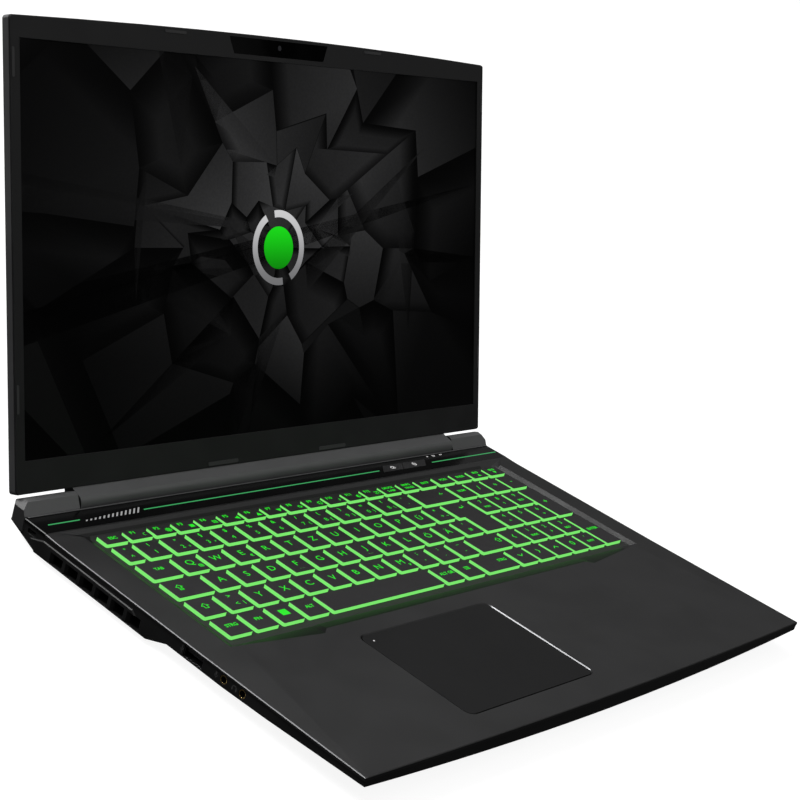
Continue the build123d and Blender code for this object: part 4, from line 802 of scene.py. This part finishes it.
def make_side_signs():
    """Faint printed signs behind the sockets of the left side: a headset, a microphone and a fork."""
    marks = Marks(left_side_frame @ Matrix.Translation((0, 0, -SIDE_SET_IN * MM)))
    x = -HEADSET_Y
    marks.arc((x, -5.1), 1.3, 0.4, 0, 180, 12)
    for cup in (x - 1.3, x + 1.3):
        marks.fill(rectangle(cup, -5.7, 0.7, 1.2))
    x = -MICROPHONE_Y
    marks.fill(rectangle(x, -4.35, 0.9, 1.7))
    marks.arc((x, -5.0), 0.95, 0.3, 180, 360, 12)
    marks.stroke([(x, -6.0), (x, -6.8)], 0.3)
    x = -FORK_Y
    marks.stroke([(x, -7.4), (x, -3.0)], 0.35)
    for side, low in ((0.8, -5.8), (-0.8, -6.4)):
        marks.stroke([(x, low), (x + side, low + 0.7), (x + side, low + 1.5)], 0.3)
    marks.make("side_signs", "base", materials["faint_mark"])


def make_jack_contacts():
    """The gilt ring round each audio jack's mouth."""
    rings = Marks(left_side_frame @ Matrix.Translation((0, 0, -JACK_NOSE * MM)), rise=0.12)
    for y in JACK_YS:
        rings.arc((-y, JACK_Z), 1.95, 0.3, steps=28)
    rings.make("jack_contacts", "base", materials["gold"])


make_strip_mark()
make_strip_rail()
make_side_signs()
make_jack_contacts()
make_button_signs()
make_status_signs()
make_touchpad_dot()
make_home_bumps()

# ---------------------------------------------------------------- the picture on the screen

# Rings of plates round the middle: the inner radius in millimetres, and how many plates. The last one only
# closes the plates of the ring inside it.
RINGS = [(9.0, 7), (25.0, 10), (47.0, 11), (76.0, 12), (116.0, 13), (172.0, 11), (262.0, 9), (420.0, 0)]
# how unevenly the plates share a ring, how far their corners stray from it, and how wide it is for its height
UNEVEN = 0.3
STRAY = (0.76, 1.30)
PLATE_SPREAD = 1.28
# the spot of most light, right of and above the screen's middle, and how far its light reaches
LIGHT_SPOT = (14.0, 34.0)
LIGHT_REACH = (190.0, 150.0)
LIGHT_LOSS = 0.93
LIGHT_POWER = 2.3
LEAST_LIGHT = 0.18
# a plate's own light, from the lowest to the highest plate
PLATE_TONES = (0.50, 1.00)
# how much of it shows at the plate's middle, and how much more or less at a distance towards one side
MIDDLE_LIGHT = 0.84
LEAN_LIGHT = 0.20
LEAN_REACH = 24.0
# the shadow under a higher neighbour: its reach, also as a share of the plate, and its depth, which is more
# along upper sides
SHADOW_REACH = 21.0
SHADOW_SHARE = 0.72
SHADOW_DEPTH = 0.88
SHADOW_UPPER = 0.35
DEEPEST_SHADOW = 0.97
FAINTEST_SHADOW = 0.02
# the brightness of the picture, and how much its dark tones are darkened
PLATE_LIGHT = 0.036
PICTURE_CONTRAST = 1.8
# how far the picture and its sign stand before the display's surface
PICTURE_RISE = 0.04
SIGN_RISE = 0.06
# two lines closer in direction than this are taken as side by side, and two turns closer than this as one
SIDE_BY_SIDE = 0.05
SAME_TURN = 1e-9


def crossing(point_a, way_a, point_b, way_b):
    """Where two lines meet, or the second line's point when they run side by side."""
    across = way_a.x * way_b.y - way_a.y * way_b.x
    if abs(across) < SIDE_BY_SIDE:
        return point_b
    gap = point_b - point_a
    return point_a + way_a * ((gap.x * way_b.y - gap.y * way_b.x) / across)


def ring_plates(rng, centre):
    """Plates in broken rings, each as a list of corners and, for each side, the neighbour beyond it."""
    turns = [sorted((place + rng.uniform(-UNEVEN, UNEVEN)) / count for place in range(count))
             for radius, count in RINGS[:-1]]
    corners = []
    for ring, (radius, count) in enumerate(RINGS):
        edges = set(turns[ring] if ring < len(turns) else [])
        edges |= set(turns[ring - 1] if ring > 0 else [])
        line = []
        for turn in sorted(edges):
            reach = radius * rng.uniform(*STRAY)
            angle = 2 * math.pi * turn
            place = centre + Vector((PLATE_SPREAD * math.cos(angle), math.sin(angle))) * reach
            line.append((turn, place))
        corners.append(line)

    def along(ring, start, end):
        """A ring's corners from one turn to another, in order."""
        line = corners[ring]
        if end <= start:
            end += 1
        doubled = line + [(turn + 1, place) for turn, place in line]
        return [(turn % 1, place) for turn, place in doubled if start - SAME_TURN <= turn <= end + SAME_TURN]

    def owner(ring, turn):
        """The plate of a ring that holds a turn."""
        if not 0 <= ring < len(turns):
            return None
        held = [place for place, edge in enumerate(turns[ring]) if edge <= turn + SAME_TURN]
        return (ring, held[-1] if held else len(turns[ring]) - 1)

    plates = {}
    for ring, edges in enumerate(turns):
        for place, start in enumerate(edges):
            after = (place + 1) % len(edges)
            end = edges[after]
            inner = along(ring, start, end)
            outer = along(ring + 1, start, end)
            outline = [corner for turn, corner in inner] + [corner for turn, corner in reversed(outer)]
            beyond = [owner(ring - 1, turn) for turn, corner in inner[:-1]] + [(ring, after)]
            beyond += [owner(ring + 1, turn) for turn, corner in reversed(outer[:-1])]
            beyond.append((ring, place - 1 if place else len(edges) - 1))
            plates[(ring, place)] = (outline, beyond)
    return plates


def plate_tone(centre, middle, light, lean_turn):
    """A plate's brightness by place: its own light, which falls off round the spot and leans to one side."""
    spot = centre + Vector(LIGHT_SPOT)
    lean_way = Vector((math.cos(lean_turn), math.sin(lean_turn)))

    def tone(p):
        away = Vector(((p.x - spot.x) / LIGHT_REACH[0], (p.y - spot.y) / LIGHT_REACH[1])).length
        fall = max(LEAST_LIGHT, 1.0 - LIGHT_LOSS * away ** LIGHT_POWER)
        side = max(-1.0, min(1.0, (p - middle).dot(lean_way) / LEAN_REACH))
        return light * fall * (MIDDLE_LIGHT + LEAN_LIGHT * side)

    return tone


def shaded_face(bm, points, values):
    """A face of the picture whose corners have these brightnesses."""
    shade = bm.loops.layers.float_color["shade"]
    made = bm.faces.new([bm.verts.new((*(p * MM), 0)) for p in points])
    for loop, value in zip(made.loops, values):
        loop[shade] = (value, value, value, 1)


def draw_plate(bm, outline, middle, covered, tone):
    """One plate: a lit face, and a shaded rim along each side that is covered by a higher neighbour."""
    count = len(outline)
    ways = [(outline[(i + 1) % count] - outline[i]).normalized() for i in range(count)]
    outward = [Vector((-way.y, way.x)) for way in ways]
    size = min((p - middle).length for p in outline)
    dark = [max(0.0, SHADOW_DEPTH + SHADOW_UPPER * way.y) if over else 0.0
            for way, over in zip(outward, covered)]
    reach = [min(SHADOW_REACH, SHADOW_SHARE * size) * d if d > FAINTEST_SHADOW else 0.0 for d in dark]
    inset = [crossing(outline[i] - outward[i - 1] * reach[i - 1], ways[i - 1],
                      outline[i] - outward[i] * reach[i], ways[i]) for i in range(count)]
    shaded_face(bm, inset, [tone(p) for p in inset])
    for i in range(count):
        j = (i + 1) % count
        if reach[i]:
            edge = 1.0 - min(DEEPEST_SHADOW, dark[i])
            shaded_face(bm, [outline[i], outline[j], inset[j], inset[i]],
                        [tone(outline[i]) * edge, tone(outline[j]) * edge, tone(inset[j]), tone(inset[i])])


def trim_to_screen(bm):
    """Cuts away what lies outside the screen's four sides."""
    u0, u1, v0, v1 = SCREEN
    for point, normal in (((u0, v0), (-1, 0)), ((u0, v0), (0, -1)), ((u1, v1), (1, 0)), ((u1, v1), (0, 1))):
        everything = bm.verts[:] + bm.edges[:] + bm.faces[:]
        bmesh.ops.bisect_plane(bm, geom=everything, plane_co=(point[0] * MM, point[1] * MM, 0),
                               plane_no=(*normal, 0), clear_outer=True)


def picture_material():
    """The picture's own light, taken from the brightness of each corner, with a fine grain."""
    n = Nodes("picture_light", (0.0004, 0.0004, 0.0005), 0.45, specular=0.03)
    source = n.add("ShaderNodeVertexColor", layer_name="shade")
    tone = n.math("POWER", source.outputs["Color"], PICTURE_CONTRAST)
    grain = n.range(n.noise(700.0, 2.0), 0.93, 1.07, *NOISE_SPAN)
    n.glow((1.0, 1.0, 1.02), n.math("MULTIPLY", n.math("MULTIPLY", tone, PLATE_LIGHT), grain))
    n.bump(n.noise(4000.0, 2.0), 2e-6)
    return n.material


def make_screen_picture():
    """A dark picture of angular plates round the middle, each shaded under its higher neighbours."""
    rng = random.Random(SEED)
    u0, u1, v0, v1 = SCREEN
    centre = Vector(((u0 + u1) / 2, (v0 + v1) / 2))
    plates = ring_plates(rng, centre)
    level = {key: rng.random() for key in plates}
    bm = bmesh.new()
    bm.loops.layers.float_color.new("shade")
    for key, (outline, beyond) in plates.items():
        middle = sum(outline, Vector((0, 0))) / len(outline)
        light = PLATE_TONES[0] + (PLATE_TONES[1] - PLATE_TONES[0]) * level[key]
        tone = plate_tone(centre, middle, light, rng.uniform(0, 2 * math.pi))
        covered = [neighbour in level and level[neighbour] > level[key] for neighbour in beyond]
        draw_plate(bm, outline, middle, covered, tone)
    trim_to_screen(bm)
    place = lid_frame @ Matrix.Translation((0, 0, (PANEL_W + PICTURE_RISE) * MM))
    piece = mesh_object("screen_picture", bm, place, picture_material())
    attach(piece, "lid")


# the sign on the screen: its two arcs from angle to angle, its sizes, and where it brightens up the display
RING_ARCS = ((-60, 100), (120, 280))
RING_RADIUS = 20.0
RING_WIDTH = 4.2
DISC_RADIUS = 12.5
BRIGHTENING = (0.42, 0.64)


def emblem_material(name, color_low, color_high):
    """A lit colour that brightens upwards."""
    n = Nodes(name, (0.001, 0.001, 0.001), 0.45, specular=0.1)
    low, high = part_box("lcd_panel")
    start, end = [low.z + share * (high.z - low.z) for share in BRIGHTENING]
    n.glow(n.blend(n.range(n.axis(n.coordinates, "Z"), 0.0, 1.0, start, end), color_low, color_high))
    n.bump(n.noise(4000.0, 2.0), 2e-6)
    return n.material


def make_screen_emblem():
    """A plain round sign in the middle of the screen: a pale ring in two arcs round a green disc."""
    materials["emblem_ring"] = emblem_material("emblem_ring_light", (0.16, 0.16, 0.165), (0.62, 0.62, 0.63))
    materials["emblem_disc"] = emblem_material("emblem_disc_light", (0.0, 0.17, 0.0), (0.01, 0.85, 0.01))
    middle = ((SCREEN[0] + SCREEN[1]) / 2, (SCREEN[2] + SCREEN[3]) / 2)
    plane = lid_frame @ Matrix.Translation((0, 0, (PANEL_W + SIGN_RISE) * MM))
    ring = Marks(plane)
    for start, end in RING_ARCS:
        ring.arc(middle, RING_RADIUS, RING_WIDTH, start, end, 28)
    ring.make("screen_ring", "lid", materials["emblem_ring"])
    disc = Marks(plane)
    disc.disc(middle, DISC_RADIUS, 40)
    disc.make("screen_disc", "lid", materials["emblem_disc"])


make_screen_picture()
make_screen_emblem()

# ---------------------------------------------------------------- floor, light and camera

# the paper bowl round the object: each ring's radius and height, in metres
BOWL = [(4.0, 0.0), (30.0, 0.0), (34.0, 0.6), (37.0, 2.4), (39.0, 6.0), (40.0, 30.0)]
BOWL_SIDES = 48
# the floor lies just under the feet, so that the two surfaces do not share one plane
FLOOR_GAP = 0.1 * MM
PAPER_GLOW = 0.90


def make_floor():
    """A pale floor that curves up into a wall far away, as a studio's paper does."""
    bm = bmesh.new()
    turns = [2 * math.pi * i / BOWL_SIDES for i in range(BOWL_SIDES)]
    rings = []
    for radius, height in BOWL:
        rings.append([bm.verts.new((x, y, height)) for x, y in circle((0, 0), radius, turns)])
    bm.faces.new(rings[0])
    for inner, outer in zip(rings, rings[1:]):
        for i in range(BOWL_SIDES):
            bm.faces.new([inner[i - 1], outer[i - 1], outer[i], inner[i]])
    bmesh.ops.recalc_face_normals(bm, faces=bm.faces)
    n = Nodes("floor_paper", (0.86, 0.86, 0.86), 0.9, specular=0.1)
    n.set(n.shader, "Base Color", n.blend(n.noise(3.0, 2.0), (0.17, 0.17, 0.17), (0.18, 0.18, 0.18)))
    n.glow((1.0, 1.0, 1.0), PAPER_GLOW)
    floor = mesh_object("floor", bm, Matrix.Identity(4), n.material)
    floor.location.z = -FLOOR_GAP
    # the pale floor throws no light back and casts no shadow, so the sides keep their dark tone
    floor.visible_diffuse = False
    floor.visible_glossy = False
    floor.visible_shadow = False


def softbox(name, place, target, size, power):
    light = bpy.data.lights.new(name, "AREA")
    light.shape = "RECTANGLE"
    light.size, light.size_y = size
    light.energy = power
    lamp = bpy.data.objects.new(name, light)
    bpy.context.scene.collection.objects.link(lamp)
    lamp.location = place
    lamp.rotation_euler = (Vector(target) - Vector(place)).to_track_quat("-Z", "Y").to_euler()


# how bright the studio's walls and ceiling are, by the sine of their angle above the horizon
SKY = [(0.0, 0.05), (0.2, 0.05), (0.42, 0.28), (0.65, 0.8), (1.0, 1.0)]
SKY_STRENGTH = 0.8


def make_world():
    """A studio that is dark near the horizon and bright overhead."""
    world = bpy.data.worlds.new("studio")
    bpy.context.scene.world = world
    world.use_nodes = True
    tree = world.node_tree
    background = tree.nodes["Background"]
    direction = tree.nodes.new("ShaderNodeTexCoord")
    height = tree.nodes.new("ShaderNodeSeparateXYZ")
    ramp = tree.nodes.new("ShaderNodeValToRGB")
    tree.links.new(direction.outputs["Generated"], height.inputs[0])
    tree.links.new(height.outputs["Z"], ramp.inputs[0])
    tree.links.new(ramp.outputs[0], background.inputs["Color"])
    ramp.color_ramp.elements[0].position = SKY[0][0]
    ramp.color_ramp.elements[1].position = SKY[-1][0]
    for place, light in SKY[1:-1]:
        ramp.color_ramp.elements.new(place)
    for element, (place, light) in zip(ramp.color_ramp.elements, SKY):
        element.color = (light, light, light, 1.0)
    background.inputs["Strength"].default_value = SKY_STRENGTH


# the camera's place from the deck's front left corner, in millimetres, and its lens, in millimetres of film
CAMERA_PLACE = (-550.33, -351.68, 383.64)
CAMERA_AZIMUTH = math.radians(-50.31)
CAMERA_ELEVATION = math.radians(19.34)
CAMERA_ROLL = math.radians(15.70)
SENSOR_WIDTH = 36.0
FOCAL_LENGTH = 77.94
LENS_SHIFT = (0.1543, -0.0074)


def make_camera():
    """The camera stands in front of the left front corner, a little above the lid, and is rolled."""
    level = math.cos(CAMERA_ELEVATION)
    back = Vector((math.sin(CAMERA_AZIMUTH) * level, -math.cos(CAMERA_AZIMUTH) * level,
                   math.sin(CAMERA_ELEVATION)))
    right = Vector((math.cos(CAMERA_AZIMUTH), math.sin(CAMERA_AZIMUTH), 0))
    up = back.cross(right)
    rolled_right = math.cos(CAMERA_ROLL) * right + math.sin(CAMERA_ROLL) * up
    rolled_up = math.cos(CAMERA_ROLL) * up - math.sin(CAMERA_ROLL) * right
    camera = bpy.data.cameras.new("camera")
    camera.sensor_width = SENSOR_WIDTH
    camera.lens = FOCAL_LENGTH
    camera.shift_x, camera.shift_y = LENS_SHIFT
    stand = bpy.data.objects.new("camera", camera)
    bpy.context.scene.collection.objects.link(stand)
    turn = Matrix((rolled_right, rolled_up, back)).transposed().to_4x4()
    stand.matrix_world = Matrix.Translation(deck_frame @ (Vector(CAMERA_PLACE) * MM)) @ turn
    bpy.context.scene.camera = stand


make_floor()
softbox("key_light", place=(-1.2, 1.4, 1.9), target=(0, 0, 0.05), size=(1.4, 1.0), power=70)
softbox("rim_light", place=(0.8, 1.1, 2.3), target=(0, 0, 0.05), size=(0.7, 0.6), power=15)
softbox("fill_light", place=(1.3, -1.9, 1.5), target=(0, 0.1, 0.1), size=(1.6, 1.2), power=7)
softbox("back_light", place=(-0.5, 2.1, 0.55), target=(0, 0.1, 0.05), size=(1.6, 0.8), power=9)
make_world()
make_camera()
bpy.context.scene.view_settings.view_transform = "Standard"
